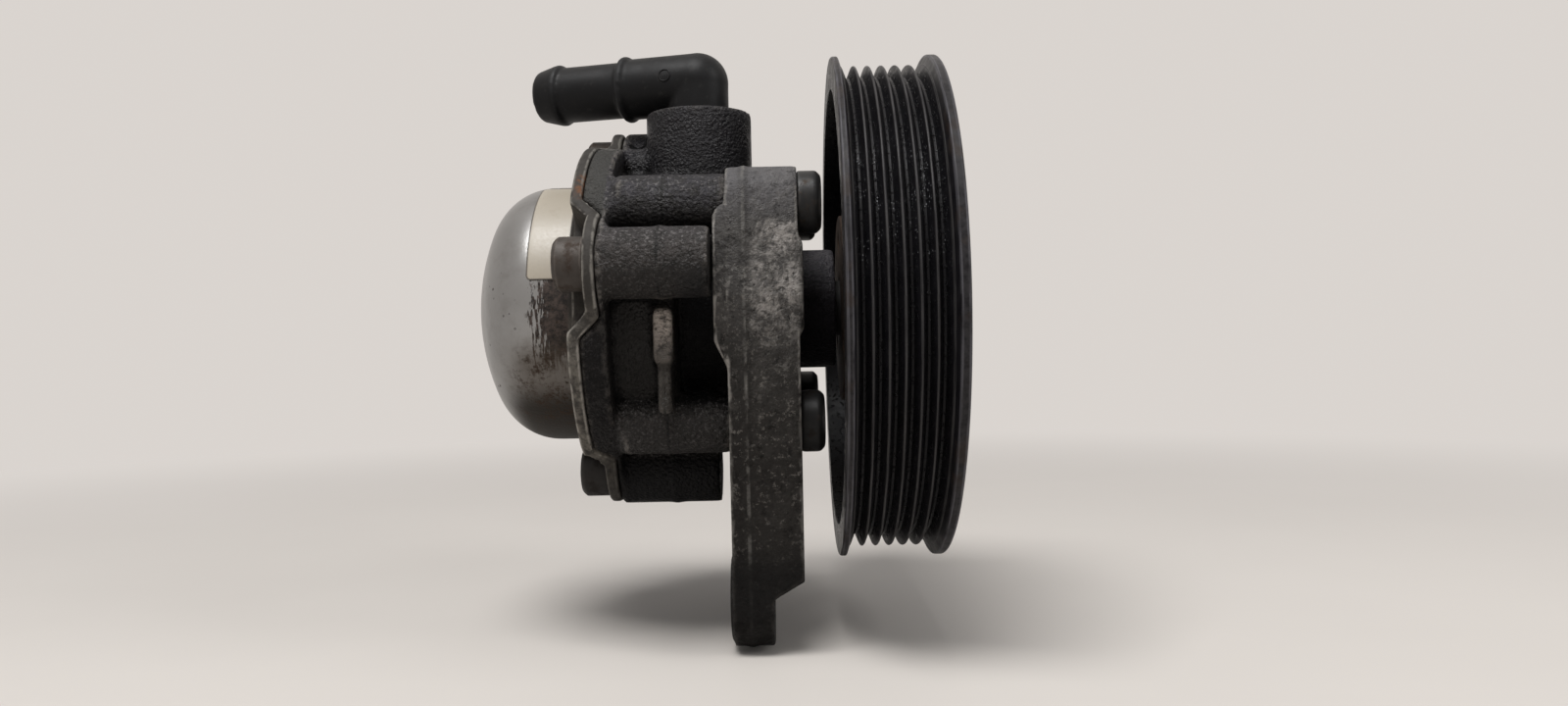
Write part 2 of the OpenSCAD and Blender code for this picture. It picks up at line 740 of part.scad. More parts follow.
module bearing_ring(r_in, r_out) {
  color("#a7a9ac") difference() {
    bar(bearing_rear + seat_gap, bearing_rear + bearing_w - seat_gap, r_out);
    bar(bearing_rear - past, bearing_rear + bearing_w + past, r_in);
    ball_track();
  }
}

module bearing_outer_race() {
  bearing_ring(pitch_r + shoulder_r, bearing_r);
}

module bearing_inner_race() {
  bearing_ring(shaft_r + seat_gap / 2, pitch_r - shoulder_r);
}

module bearing_balls() {
  color("#c3c5c8") around(pitch_r, [for (i = [0:ball_count - 1]) 360 * i / ball_count])
    translate([bearing_rear + bearing_w / 2, 0, 0]) sphere(r = ball_r);
}

// Cage: a thin band with a round pocket for each ball
module bearing_cage() {
  half_t = shoulder_r - 0.45;
  half_w = ball_r + 0.9;
  mid = bearing_rear + bearing_w / 2;
  color("#9c7b46") difference() {
    bar(mid - half_w, mid + half_w, pitch_r + half_t);
    bar(mid - half_w - past, mid + half_w + past, pitch_r - half_t);
    for (i = [0:ball_count - 1]) translate([mid, 0, 0]) rotate([360 * i / ball_count, 0, 0])
      rotate([-90, 0, 0]) cylinder(h = bearing_r, r = ball_r + 0.1);
  }
}

module bearing_clip() {
  gap_w = 7;
  ring_w = 1.6;
  color("#5c5d60") difference() {
    bar(clip_rear + seat_gap, clip_rear + clip_t, bearing_r + clip_depth);
    bar(clip_rear - past, clip_rear + clip_t + past, bearing_r - ring_w);
    translate([clip_rear - past, -gap_w / 2, 0]) cube([clip_t + 2 * past, gap_w, bearing_r + past]);
  }
}

// Kidney ports of the plates, two on opposite sides
module kidneys(x0, x1, from) {
  sweep = 46;
  inner_r = cam_minor_r - 3.6;
  for (a = [from, from + 180]) translate([x0, 0, 0]) rotate([0, 90, 0]) rotate([0, 0, a - sweep / 2])
    rotate_extrude(angle = sweep) translate([inner_r, 0]) square([3, x1 - x0]);
}

module thrust_plate() {
  color("#8f8c84") difference() {
    bar(cam_front, pack_front, cam_d / 2);
    bar(cam_front - past, pack_front + past, shaft_r + 0.5);
    kidneys(cam_front - past, cam_front + thrust_t / 2, 45);
    around(pin_r, pin_angles) bar(cam_front - past, pack_front + past, pin_d / 2 + seat_gap);
  }
}

// Cam track: two arcs set apart by the lift, joined by short flats a hair inside them
module cam_track() {
  for (side = [-1, 1]) translate([0, side * cam_lift]) circle(r = cam_minor_r);
  square([2 * cam_minor_r - 0.02, 2 * cam_lift], center = true);
}

module cam_ring() {
  color("#7d7f82") difference() {
    bar(cam_rear, cam_front, cam_d / 2);
    plate(cam_rear - past, cam_front + past) cam_track();
    around(pin_r, pin_angles) bar(cam_rear - past, cam_front + past, pin_d / 2 + seat_gap);
  }
}

module pressure_plate() {
  color("#8f8c84") difference() {
    bar(pressure_rear, cam_rear, pressure_d / 2);
    bar(cam_rear - pressure_t + 1.5, cam_rear + past, shaft_r - 2 + run_gap);
    kidneys(pressure_rear - past, cam_rear + past, 135);
    around(pin_r, pin_angles) bar(pressure_rear - past, cam_rear + past, pin_d / 2 + seat_gap);
  }
}

module locating_pins() {
  color("#9a9ca0") around(pin_r, pin_angles)
    bar(cam_rear - pressure_t / 2, pack_front + pin_depth - past / 2, pin_d / 2);
}

// Disc spring between the pressure plate and the inside of the crown
module pack_spring() {
  disc_t = 1.2;
  inner_r = 9;
  outer_r = 15;
  inner_crown = dome_crown_r - cover_sheet;
  seat_x = crown_x - sqrt(inner_crown * inner_crown - outer_r * outer_r) + seat_gap;
  color("#6d6a66") turned() polygon([
    [inner_r, pressure_rear - seat_gap], [inner_r + disc_t, pressure_rear - seat_gap],
    [outer_r, seat_x + disc_t], [outer_r, seat_x], [outer_r - disc_t, seat_x + 0.2]
  ]);
}

// Spline teeth shared by the shaft and the rotor
module spline_outline(grow) {
  teeth = 10;
  tooth_w = 2;
  circle(r = shaft_r - 1.2 + grow);
  for (i = [0:teeth - 1]) rotate(360 * i / teeth)
    translate([0, -tooth_w / 2 - grow]) square([shaft_r - 0.4 + grow, tooth_w + 2 * grow]);
}

module drive_shaft() {
  color("#9b9da0") difference() {
    union() {
      bar(shaft_tail, cam_rear + 0.5, shaft_r - 2);
      plate(cam_rear, cam_front + past) spline_outline(0);
      bar(cam_front + past / 2, hub_rear, shaft_r);
      bar(hub_rear - past, shaft_front, hub_seat_r);
    }
    turned() translate([shaft_r - clip_depth, rotor_clip_x]) square([clip_depth + past, clip_t + seat_gap]);
  }
}

// Clip that keeps the rotor from walking forward
module rotor_clip() {
  gap_w = 4;
  color("#5c5d60") difference() {
    bar(rotor_clip_x + seat_gap / 2, rotor_clip_x + clip_t, shaft_r + 0.4);
    bar(rotor_clip_x - past, rotor_clip_x + clip_t + past, shaft_r - clip_depth + seat_gap);
    translate([rotor_clip_x - past, -gap_w / 2, 0]) cube([clip_t + 2 * past, gap_w, shaft_r + past]);
  }
}

module rotor() {
  slot = vane_t + 2 * run_gap;
  slot_floor = vane_tip - vane_len - 0.6;
  color("#86888b") plate(cam_rear + rotor_gap, cam_front - rotor_gap) difference() {
    circle(r = rotor_r);
    spline_outline(seat_gap);
    for (a = vane_angles) rotate(a) {
      translate([slot_floor, -slot / 2]) square([rotor_r, slot]);
      translate([slot_floor, 0]) circle(r = slot * 0.7);
    }
  }
}

// Vanes drawn right in, as they lie when the pump stands still
module vanes() {
  color("#b4b6b8") plate(cam_rear + rotor_gap, cam_front - rotor_gap)
    for (a = vane_angles) rotate(a) translate([vane_tip - vane_len, -vane_t / 2]) square([vane_len, vane_t]);
}

module drive_hub() {
  color("#7a5a44") difference() {
    union() {
      bar(hub_rear, web_rear, hub_flange_d / 2);
      bar(web_rear - past, shaft_front, hub_barrel_d / 2);
    }
    bar(hub_rear - past, shaft_front + past, hub_seat_r + seat_gap / 2);
    around(pulley_bolt_pcd / 2, pulley_bolt_angles)
      bar(hub_rear - past, web_rear + past, pulley_bolt_d / 2 + seat_gap);
  }
}

// One belt groove as a cut in radius and X
module groove() {
  top_half = groove_root / 2 + groove_depth * tan(groove_half_angle);
  flare = top_half * (groove_depth + past) / groove_depth;
  open_r = crest_r + past;
  polygon([[root_r, -groove_root / 2], [root_r, groove_root / 2], [open_r, flare], [open_r, -flare]]);
}

// Rim section: flanges with sloped inner faces, crests between them
module rim_section() {
  break_w = 0.4;
  rear_slope = rear_lip / 3;
  front_slope = front_lip / 3;
  polygon([
    [rim_in_r, pulley_rear], [flange_r - break_w, pulley_rear], [flange_r, pulley_rear + break_w],
    [flange_r, pulley_rear + rear_lip - rear_slope], [crest_r, pulley_rear + rear_lip],
    [crest_r, pulley_front - front_lip], [flange_r, pulley_front - front_lip + front_slope],
    [flange_r, pulley_front - break_w], [flange_r - break_w, pulley_front], [rim_in_r, pulley_front]
  ]);
}

// Rim of the pulley, with the belt grooves
module pulley() {
  first_groove = pulley_rear + rear_lip + groove_pitch / 2;
  color("#1f2023") turned() difference() {
    rim_section();
    for (i = [0:groove_count - 1]) translate([0, first_groove + i * groove_pitch]) groove();
  }
}

// Web of the pulley: a pressed disc with a flared edge, fixed in the rim
module pulley_web() {
  corner = 4;
  bore_r = hub_barrel_d / 2 + seat_gap;
  edge_r = rim_in_r - seat_gap;
  bolt_hole_r = pulley_bolt_d / 2 + pass_gap;
  color("#1f2023") difference() {
    turned() polygon([
      [bore_r, web_rear], [edge_r, web_rear], [edge_r, web_front + corner], [edge_r - corner, web_front],
      [bore_r, web_front]
    ]);
    around(pulley_bolt_pcd / 2, pulley_bolt_angles) bar(web_rear - past, web_front + past, bolt_hole_r);
    around(bracket_bolt_r, bracket_angles) bar(web_rear - past, web_front + corner + past, access_hole_d / 2);
  }
}

module pulley_bolts() {
  color("#3a3b3e") around(pulley_bolt_pcd / 2, pulley_bolt_angles) union() {
    translate([web_front, 0, 0]) rotate([0, 90, 0])
      cylinder(h = pulley_bolt_head, r = pulley_bolt_af / sqrt(3), $fn = 6);
    bar(hub_rear + 0.5, web_front + past, pulley_bolt_d / 2);
  }
}

// Screw plug that closes the foot of the valve bore
module valve_plug() {
  groove_w = 2 * plug_seal_r + 2 * ring_room;
  color("#8c8a84") translate([valve_x, valve_y, 0]) difference() {
    union() {
      translate([0, 0, valve_bottom - plug_head]) cylinder(h = plug_head, r = plug_af / sqrt(3), $fn = 6);
      translate([0, 0, valve_bottom - past]) cylinder(h = plug_top - valve_bottom + past, r = plug_d / 2);
    }
    translate([0, 0, plug_seal_z - groove_w / 2]) difference() {
      cylinder(h = groove_w, r = plug_d / 2 + past);
      translate([0, 0, -past]) cylinder(h = groove_w + 2 * past, r = plug_d / 2 - 2 * plug_seal_r - seat_gap);
    }
  }
}

module plug_seal() {
  color("#1b1b1c") translate([valve_x, valve_y, plug_seal_z])
    rotate_extrude() translate([plug_d / 2 - plug_seal_r, 0]) circle(r = plug_seal_r);
}

module valve_spring() {
  color("#8a8d90") translate([valve_x, valve_y, 0])
    coil(spool_r - 1.8, 0.8, plug_top + seat_gap, spool_bottom - seat_gap, 7);
}

// Spool: two lands, a waist between them, and a cavity for the relief ball
module valve_spool() {
  land = 8;
  waist_r = spool_r - 1.8;
  color("#aeb0b3") translate([valve_x, valve_y, 0]) difference() {
    union() {
      translate([0, 0, spool_bottom]) cylinder(h = land, r = spool_r);
      translate([0, 0, spool_bottom + land / 2]) cylinder(h = spool_len - land, r = waist_r);
      translate([0, 0, spool_top - land]) cylinder(h = land, r = spool_r);
    }
    translate([0, 0, spool_bottom - past]) cylinder(h = relief_top - spool_bottom + past, r = relief_r);
  }
}

module relief_seat() {
  color("#9a8f7a") translate([valve_x, valve_y, 0]) difference() {
    translate([0, 0, spool_bottom]) cylinder(h = relief_seat_t, r = relief_r - seat_gap);
    translate([0, 0, spool_bottom - past]) cylinder(h = relief_seat_t + 2 * past, r = relief_seat_r);
  }
}

module relief_ball() {
  color("#c3c5c8") translate([valve_x, valve_y, relief_ball_z]) sphere(r = relief_ball_r);
}

module relief_spring() {
  color("#8a8d90") translate([valve_x, valve_y, 0])
    coil(relief_ball_r - 0.2, 0.45, relief_ball_z + 1.4, relief_top - seat_gap, 5);
}

pump_housing();
mounting_bracket();
bracket_bolts();
rear_cover();
cover_bolts();
cover_seal();
suction_elbow();
elbow_seal();
elbow_clip();
rear_bush();
shaft_seal();
bearing_outer_race();
bearing_clip();
thrust_plate();
cam_ring();
pressure_plate();
locating_pins();
pack_spring();
valve_plug();
plug_seal();
valve_spring();
drive_shaft();
rotor();
vanes();
rotor_clip();
bearing_inner_race();
drive_hub();
pulley();
pulley_web();
pulley_bolts();
bearing_cage();
bearing_balls();
valve_spool();
relief_seat();
relief_spring();
relief_ball();
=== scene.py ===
# %% [markdown]
# A power steering pump, dressed for the camera
#
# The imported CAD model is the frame: every solid is already in its place, in metres, with the shaft along +X,
# the suction elbow up at +Z and the near side at -Y. This lesson gives the castings their soft edges, draws
# the worn paint, the oxide, the oil and the rust as node materials, adds the paper label, and sets up the
# floor, the lamps and the camera.

# %% Load the frame
import json
import math

import bpy
import numpy as np
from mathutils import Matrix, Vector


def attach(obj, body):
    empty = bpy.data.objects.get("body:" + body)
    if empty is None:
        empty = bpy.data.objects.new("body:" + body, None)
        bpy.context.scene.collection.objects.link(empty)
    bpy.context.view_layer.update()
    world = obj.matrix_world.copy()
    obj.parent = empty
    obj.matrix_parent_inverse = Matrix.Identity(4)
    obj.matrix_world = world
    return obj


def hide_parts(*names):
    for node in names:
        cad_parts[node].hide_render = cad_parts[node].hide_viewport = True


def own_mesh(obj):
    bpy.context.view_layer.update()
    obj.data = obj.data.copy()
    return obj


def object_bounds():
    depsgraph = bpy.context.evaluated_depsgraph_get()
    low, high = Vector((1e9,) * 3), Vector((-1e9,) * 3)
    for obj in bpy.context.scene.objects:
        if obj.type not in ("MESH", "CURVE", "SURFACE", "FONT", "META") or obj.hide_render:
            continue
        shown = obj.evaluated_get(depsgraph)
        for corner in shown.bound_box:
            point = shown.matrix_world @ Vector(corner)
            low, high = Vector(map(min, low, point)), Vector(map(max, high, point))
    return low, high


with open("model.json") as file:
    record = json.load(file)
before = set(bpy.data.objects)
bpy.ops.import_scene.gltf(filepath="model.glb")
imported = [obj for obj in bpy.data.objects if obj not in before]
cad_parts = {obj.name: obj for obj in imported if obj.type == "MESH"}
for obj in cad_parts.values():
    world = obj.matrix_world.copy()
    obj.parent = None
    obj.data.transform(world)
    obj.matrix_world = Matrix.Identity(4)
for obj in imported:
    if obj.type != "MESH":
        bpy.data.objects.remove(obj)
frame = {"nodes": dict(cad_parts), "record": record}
cad_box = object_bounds()
nodes = frame["nodes"]

# %% [markdown]
# Materials are written as short recipes. A finish starts from the Principled shader, reads Object
# coordinates, and adds one layer after another: a mottled base, then wear where the surface is convex,
# then painted shade where it is hollow. The small class below keeps each layer on one line.

# %% A recipe book for finishes
class Finish:
    """A node material under construction; each method adds one node and returns its output socket."""

    def __init__(self, name, **constants):
        self.material = bpy.data.materials.new(name)
        self.material.use_nodes = True
        self.tree = self.material.node_tree
        self.shader = self.tree.nodes["Principled BSDF"]
        for socket, value in constants.items():
            self.shader.inputs[socket.replace("_", " ")].default_value = value
        self.place = self.tree.nodes.new("ShaderNodeTexCoord").outputs["Object"]

    def add(self, kind, **inputs):
        node = self.tree.nodes.new(kind)
        for socket, value in inputs.items():
            self.feed(node.inputs[socket.replace("_", " ")], value)
        return node

    def feed(self, socket, value):
        """Links a socket to a socket, or writes a constant on it."""
        if isinstance(value, bpy.types.NodeSocket):
            self.tree.links.new(value, socket)
        elif socket.type == "RGBA" and len(value) == 3:
            socket.default_value = (*value, 1.0)
        else:
            socket.default_value = value

    def stretched(self, scale):
        """Object coordinates scaled along each axis, for streaks."""
        return self.add("ShaderNodeMapping", Vector=self.place, Scale=scale).outputs["Vector"]

    def noise(self, scale, detail=4.0, roughness=0.55, where=None, twist=0.0):
        """Cloudy noise from 0 to 1; its patches are about 1 / scale metres wide."""
        node = self.add("ShaderNodeTexNoise", Vector=where or self.place, Scale=scale, Detail=detail,
                        Roughness=roughness, Distortion=twist)
        return node.outputs["Fac"]

    def cells(self, scale):
        """Distance to the nearest of many scattered points, for specks and pits."""
        return self.add("ShaderNodeTexVoronoi", Vector=self.place, Scale=scale).outputs["Distance"]

    def band(self, value, low, high, bottom=0.0, top=1.0):
        """Maps low..high to bottom..top with a smooth step."""
        node = self.add("ShaderNodeMapRange", Value=value, From_Min=low, From_Max=high, To_Min=bottom, To_Max=top)
        node.interpolation_type = "SMOOTHSTEP"
        return node.outputs["Result"]

    def math(self, operation, a, b=0.0):
        node = self.tree.nodes.new("ShaderNodeMath")
        node.operation = operation
        self.feed(node.inputs[0], a)
        self.feed(node.inputs[1], b)
        return node.outputs["Value"]

    def both(self, a, b):
        return self.math("MULTIPLY", a, b)

    def near(self, name, middle, inner, outer):
        """1 within inner metres of a plane across one axis, 0 beyond outer."""
        apart = self.math("ABSOLUTE", self.math("SUBTRACT", self.axis(name), middle))
        return self.band(apart, inner, outer, 1.0, 0.0)

    def blend(self, amount, first, second):
        """Goes from the first colour to the second one by an amount from 0 to 1."""
        node = self.tree.nodes.new("ShaderNodeMix")
        node.data_type = "RGBA"
        self.feed(node.inputs[0], amount)
        self.feed(node.inputs[6], first)
        self.feed(node.inputs[7], second)
        return node.outputs[2]

    def edges(self, low=0.10, high=0.26):
        """1 on convex edges: the piece's own wear attribute says how far a point stands out, in voxels."""
        node = self.add("ShaderNodeAttribute")
        node.attribute_name = "wear"
        return self.band(node.outputs["Fac"], low, high)

    def hollows(self, low=-0.10, high=-0.26):
        """1 in concave corners."""
        return self.edges(low, high)

    def upward(self, low=0.2, high=0.9):
        """1 on faces that look up, where dust and grit settle, and where the housing's painted light from above goes.
        """
        normal = self.tree.nodes.new("ShaderNodeTexCoord").outputs["Normal"]
        return self.band(self.add("ShaderNodeSeparateXYZ", Vector=normal).outputs["Z"], low, high)

    def axis(self, name):
        """One object coordinate, in metres."""
        return self.add("ShaderNodeSeparateXYZ", Vector=self.place).outputs[name]

    def radius(self):
        """Distance from the shaft axis, in metres."""
        y, z = self.axis("Y"), self.axis("Z")
        squares = self.math("ADD", self.math("POWER", y, 2.0), self.math("POWER", z, 2.0))
        return self.math("SQRT", squares)

    def round_shaft(self, along, across):
        """Noise drawn out round the shaft: so many waves a metre along X, so many to a radian."""
        turn = self.math("ARCTAN2", self.axis("Z"), self.axis("Y"))
        where = self.add("ShaderNodeCombineXYZ", X=self.both(self.axis("X"), along), Y=self.both(turn, across))
        return self.noise(1.0, 3.0, 0.6, where=where.outputs["Vector"])

    def paint(self, colour=None, roughness=None, metallic=None, heights=(), gloss=None):
        """Connects the finished layers to the shader; heights are (socket, strength, metres) bumps."""
        if gloss is not None:
            self.feed(self.shader.inputs["Specular IOR Level"], gloss)
        if colour is not None:
            self.feed(self.shader.inputs["Base Color"], colour)
        if roughness is not None:
            self.feed(self.shader.inputs["Roughness"], roughness)
        if metallic is not None:
            self.feed(self.shader.inputs["Metallic"], metallic)
        normal = None
        for height, strength, distance in heights:
            bump = self.add("ShaderNodeBump", Height=height, Strength=strength, Distance=distance)
            if normal is not None:
                self.tree.links.new(normal, bump.inputs["Normal"])
            normal = bump.outputs["Normal"]
        if normal is not None:
            self.tree.links.new(normal, self.shader.inputs["Normal"])
        return self.material


print("recipes ready")

# %% [markdown]
# The bracket is bare cast aluminium, gone dark with grease. Road salt has left a chalky bloom on the front half
# of its near side and edges are rubbed bright. Painted shade darkens it step by step toward the bottom, makes the
# foot nearly black and darkens its concave corners. Each of these is one layer: a noise decides the shape of the
# patches, and the height and the place along the shaft decide where they may be.

# %% Oxidised bracket casting
# X of the line that the two halves of each mould have left, in metres
PARTING_BRACKET, PARTING_HOUSING = 0.00435, -0.0152


def bracket_finish():
    f = Finish("oxidised_casting", Metallic=0.1, Specular_IOR_Level=0.25)
    z, x = f.axis("Z"), f.axis("X")
    grain, lumps = f.noise(2300.0, 3.0), f.noise(700.0, 4.0)
    base = f.blend(f.noise(190.0, 8.0, 0.7), (0.024, 0.022, 0.0205), (0.080, 0.075, 0.071))
    clean_top = f.band(z, 0.017, 0.028)
    base = f.blend(f.both(clean_top, 0.75), base, (0.102, 0.098, 0.102))
    mottle = f.band(f.noise(520.0, 7.0, 0.75), 0.52, 0.68)
    base = f.blend(f.both(mottle, 0.5), base, (0.135, 0.127, 0.118))
    upper = f.both(f.band(z, -0.016, -0.002, 0.16, 1.0), f.band(z, 0.019, 0.0225, 1.0, 0.10))
    zone = f.both(f.band(x, 0.0045, 0.0080, 0.12, 1.0), upper)
    bloom = f.both(f.band(f.noise(125.0, 9.0, 0.74, twist=0.6), 0.43, 0.60, 0.0, 0.85), zone)
    bloom = f.both(bloom, f.band(f.noise(900.0, 4.0), 0.30, 0.56))
    base = f.blend(bloom, base, (0.315, 0.292, 0.272))
    chalk = f.both(f.band(f.noise(75.0, 7.0, 0.75), 0.62, 0.68), f.band(z, -0.020, -0.034))
    base = f.blend(f.both(chalk, 0.7), base, (0.280, 0.262, 0.238))
    specks = f.both(f.band(f.noise(330.0, 7.0, 0.78), 0.545, 0.61), f.near("Z", -0.0060, 0.0120, 0.0260))
    base = f.blend(f.both(specks, 0.75), base, (0.255, 0.240, 0.222))
    pits = f.both(f.band(f.noise(460.0, 6.0, 0.74), 0.57, 0.66), f.band(z, 0.018, 0.024, 1.0, 0.35))
    base = f.blend(f.both(pits, 0.85), base, (0.012, 0.0108, 0.0100))
    rear_strip = f.both(f.band(x, 0.0055, 0.0035), f.band(z, 0.018, 0.014))
    base = f.blend(f.both(rear_strip, 0.35), base, (0.014, 0.0125, 0.0120))
    # painted shade: below the middle the bracket is painted darker step by step, as light falling off downward
    lower_shade, lowest_shade = f.band(z, 0.001, -0.015), f.band(z, -0.018, -0.045)
    base = f.blend(f.both(lower_shade, 0.60), base, (0.014, 0.0125, 0.0110))
    base = f.blend(f.both(lowest_shade, 0.50), base, (0.012, 0.0105, 0.0095))
    flecks = f.both(f.band(f.noise(640.0, 7.0, 0.78), 0.55, 0.63), f.band(z, 0.020, 0.010))
    base = f.blend(f.both(flecks, f.band(z, -0.030, -0.060, 0.65, 0.35)), base, (0.170, 0.157, 0.143))
    beside_ridge = f.near("X", PARTING_BRACKET, 0.0008, 0.0017)
    base = f.blend(f.both(beside_ridge, 0.35), base, (0.026, 0.024, 0.022))
    ridge = f.both(f.near("X", PARTING_BRACKET, 0.00025, 0.0006), f.band(f.noise(190.0, 5.0), 0.46, 0.62))
    base = f.blend(f.both(ridge, 0.45), base, (0.170, 0.162, 0.150))
    rubbed = f.both(f.edges(0.10, 0.24), f.band(f.noise(260.0, 4.0), 0.34, 0.58))
    base = f.blend(f.both(rubbed, f.near("Z", 0.0, 0.018, 0.030)), base, (0.340, 0.320, 0.298))
    base = f.blend(f.both(rubbed, 0.6), base, (0.230, 0.216, 0.198))
    # painted shade: the foot is painted nearly black
    foot = f.band(z, -0.055, -0.066)
    base = f.blend(f.both(foot, 0.86), base, (0.0075, 0.0070, 0.0068))
    # painted shade: concave corners painted dark
    base = f.blend(f.hollows(), base, (0.011, 0.010, 0.0095))
    rough = f.band(f.noise(420.0, 4.0), 0.3, 0.7, 0.45, 0.75)
    gloss = f.band(z, 0.004, -0.030, 0.25, 0.07)
    bumps = [(grain, 0.5, 0.0006), (lumps, 0.5, 0.0011), (pits, 0.6, -0.0010), (bloom, 0.3, 0.0005)]
    return f.paint(base, rough, heights=bumps, gloss=gloss)


# %% [markdown]
# The pump housing is the same metal under baked-on oil. In the hollows, in the recesses and under the lowest boss it
# is painted black, as painted shade over the oil; the bolt bosses, which stand farther from the shaft, carry
# grey-brown dust and pale grit on their upper sides, laid on so that they also paint the light from above and its
# glints. Edges are rubbed a little, and the rib's pad is rubbed bright. The grain is a strong bump just under a
# millimetre wide, so that the wet film glints.

# %% Oily housing casting
def housing_finish():
    f = Finish("oily_casting", Metallic=0.0)
    x, y, z, r = f.axis("X"), f.axis("Y"), f.axis("Z"), f.radius()
    grain, sand = f.noise(1250.0, 2.0, 0.5), f.noise(3000.0, 2.0)
    film = f.noise(230.0, 6.0, 0.65)
    base = f.blend(film, (0.0065, 0.0060, 0.0056), (0.0185, 0.0168, 0.0155))
    proud = f.band(r, 0.0375, 0.0425)
    dust = f.both(proud, f.band(f.noise(300.0, 8.0, 0.74), 0.34, 0.62))
    # dust on the bosses, laid on more thickly on upper faces so that it also paints the light from above on them
    settled_and_lit = f.both(f.band(z, -0.030, 0.004, 0.66, 1.0), f.band(f.upward(-0.6, 0.6), 0.0, 1.0, 0.30, 1.0))
    dust_colour = f.blend(f.band(z, 0.012, 0.024), (0.037, 0.032, 0.030), (0.034, 0.032, 0.037))
    base = f.blend(f.both(dust, settled_and_lit), base, dust_colour)
    # pale grit specks on upward faces, also painted glints of the light from above
    held_and_lit = f.math("MAXIMUM", f.upward(0.0, 0.7), f.both(proud, 0.35))
    grit_and_glints = f.both(f.band(f.noise(1100.0, 4.0, 0.75), 0.53, 0.62), held_and_lit)
    base = f.blend(f.both(grit_and_glints, 0.85), base, (0.145, 0.136, 0.134))
    rubbed = f.both(f.edges(0.11, 0.27), f.band(f.noise(420.0, 6.0, 0.7), 0.40, 0.58))
    base = f.blend(f.both(rubbed, 0.8), base, (0.125, 0.114, 0.104))
    seam = f.both(f.near("X", PARTING_HOUSING, 0.00016, 0.00050), f.band(f.noise(150.0, 4.0), 0.30, 0.46))
    seam = f.both(seam, f.band(z, 0.0340, 0.0355, 1.0, 0.0))
    base = f.blend(f.both(seam, 0.9), base, (0.0045, 0.0042, 0.0040))
    skirt = f.both(f.band(x, -0.0288, -0.0296), f.band(z, 0.010, 0.016))
    smooth = f.blend(f.noise(140.0, 6.0, 0.7), (0.020, 0.0195, 0.0175), (0.050, 0.0485, 0.0440))
    base = f.blend(f.both(skirt, 0.9), base, smooth)
    # painted shadow with oil: the recess right of the rib, in the bracket pad's shadow, and the recess at the flange
    oil_and_shadow = f.both(f.band(x, -0.0126, -0.0112), f.both(f.band(z, 0.006, 0.001), f.band(r, 0.0400, 0.0385)))
    flange = f.both(f.band(x, -0.0270, -0.0288), f.band(z, 0.002, -0.002))
    inlet = f.both(f.band(z, 0.0300, 0.0335), f.band(x, -0.0270, -0.0260))
    base = f.blend(f.both(inlet, 0.75), base, (0.0130, 0.0122, 0.0142))
    # painted shade: under the lowest boss the housing is painted black
    lowest = f.band(z, -0.0365, -0.0395)
    base = f.blend(f.both(lowest, 0.85), base, (0.0050, 0.0048, 0.0048))
    shaded = f.both(f.band(x, -0.0145, -0.0070), f.both(f.band(z, 0.0125, 0.0040), f.band(z, -0.0060, -0.0030)))
    base = f.blend(f.both(shaded, 0.75), base, (0.0050, 0.0048, 0.0052))
    nose = f.band(x, 0.0155, 0.0175)
    nose_colour = f.blend(film, (0.026, 0.024, 0.028), (0.056, 0.052, 0.060))
    base = f.blend(f.both(nose, 0.9), base, nose_colour)
    # painted shade: the recesses and the underside go nearly black
    black = f.math("MAXIMUM", f.math("MAXIMUM", oil_and_shadow, flange), f.both(lowest, 0.8))
    base = f.blend(f.both(black, 0.60), base, (0.0050, 0.0049, 0.0056))
    strip = f.both(f.near("X", PARTING_HOUSING, 0.0028, 0.0034), f.near("Z", -0.0125, 0.0115, 0.0145))
    rib = f.both(strip, f.band(y, -0.0375, -0.0388))
    base = f.blend(f.both(rib, 0.7), base, (0.042, 0.037, 0.032))
    worn = f.both(f.band(z, -0.0120, -0.0050, 0.20, 1.0), f.band(f.noise(650.0, 6.0, 0.7), 0.32, 0.52))
    worn = f.both(worn, f.both(strip, f.band(y, -0.0392, -0.0400)))
    base = f.blend(f.both(worn, 0.95), base, (0.370, 0.325, 0.288))
    # painted shade: concave corners painted nearly black
    base = f.blend(f.both(f.hollows(), 0.9), base, (0.0028, 0.0027, 0.0027))
    wet = f.band(f.noise(75.0, 4.0), 0.44, 0.58)
    rough = f.math("ADD", f.band(wet, 0.0, 1.0, 0.48, 0.24), f.both(grain, 0.14))
    gloss = f.band(f.math("MAXIMUM", black, f.hollows()), 0.0, 1.0, 0.20, 0.08)
    bumps = [(film, 0.5, 0.0016), (grain, 0.85, 0.0010), (sand, 0.4, 0.0003)]
    return f.paint(base, rough, heights=bumps, gloss=gloss)
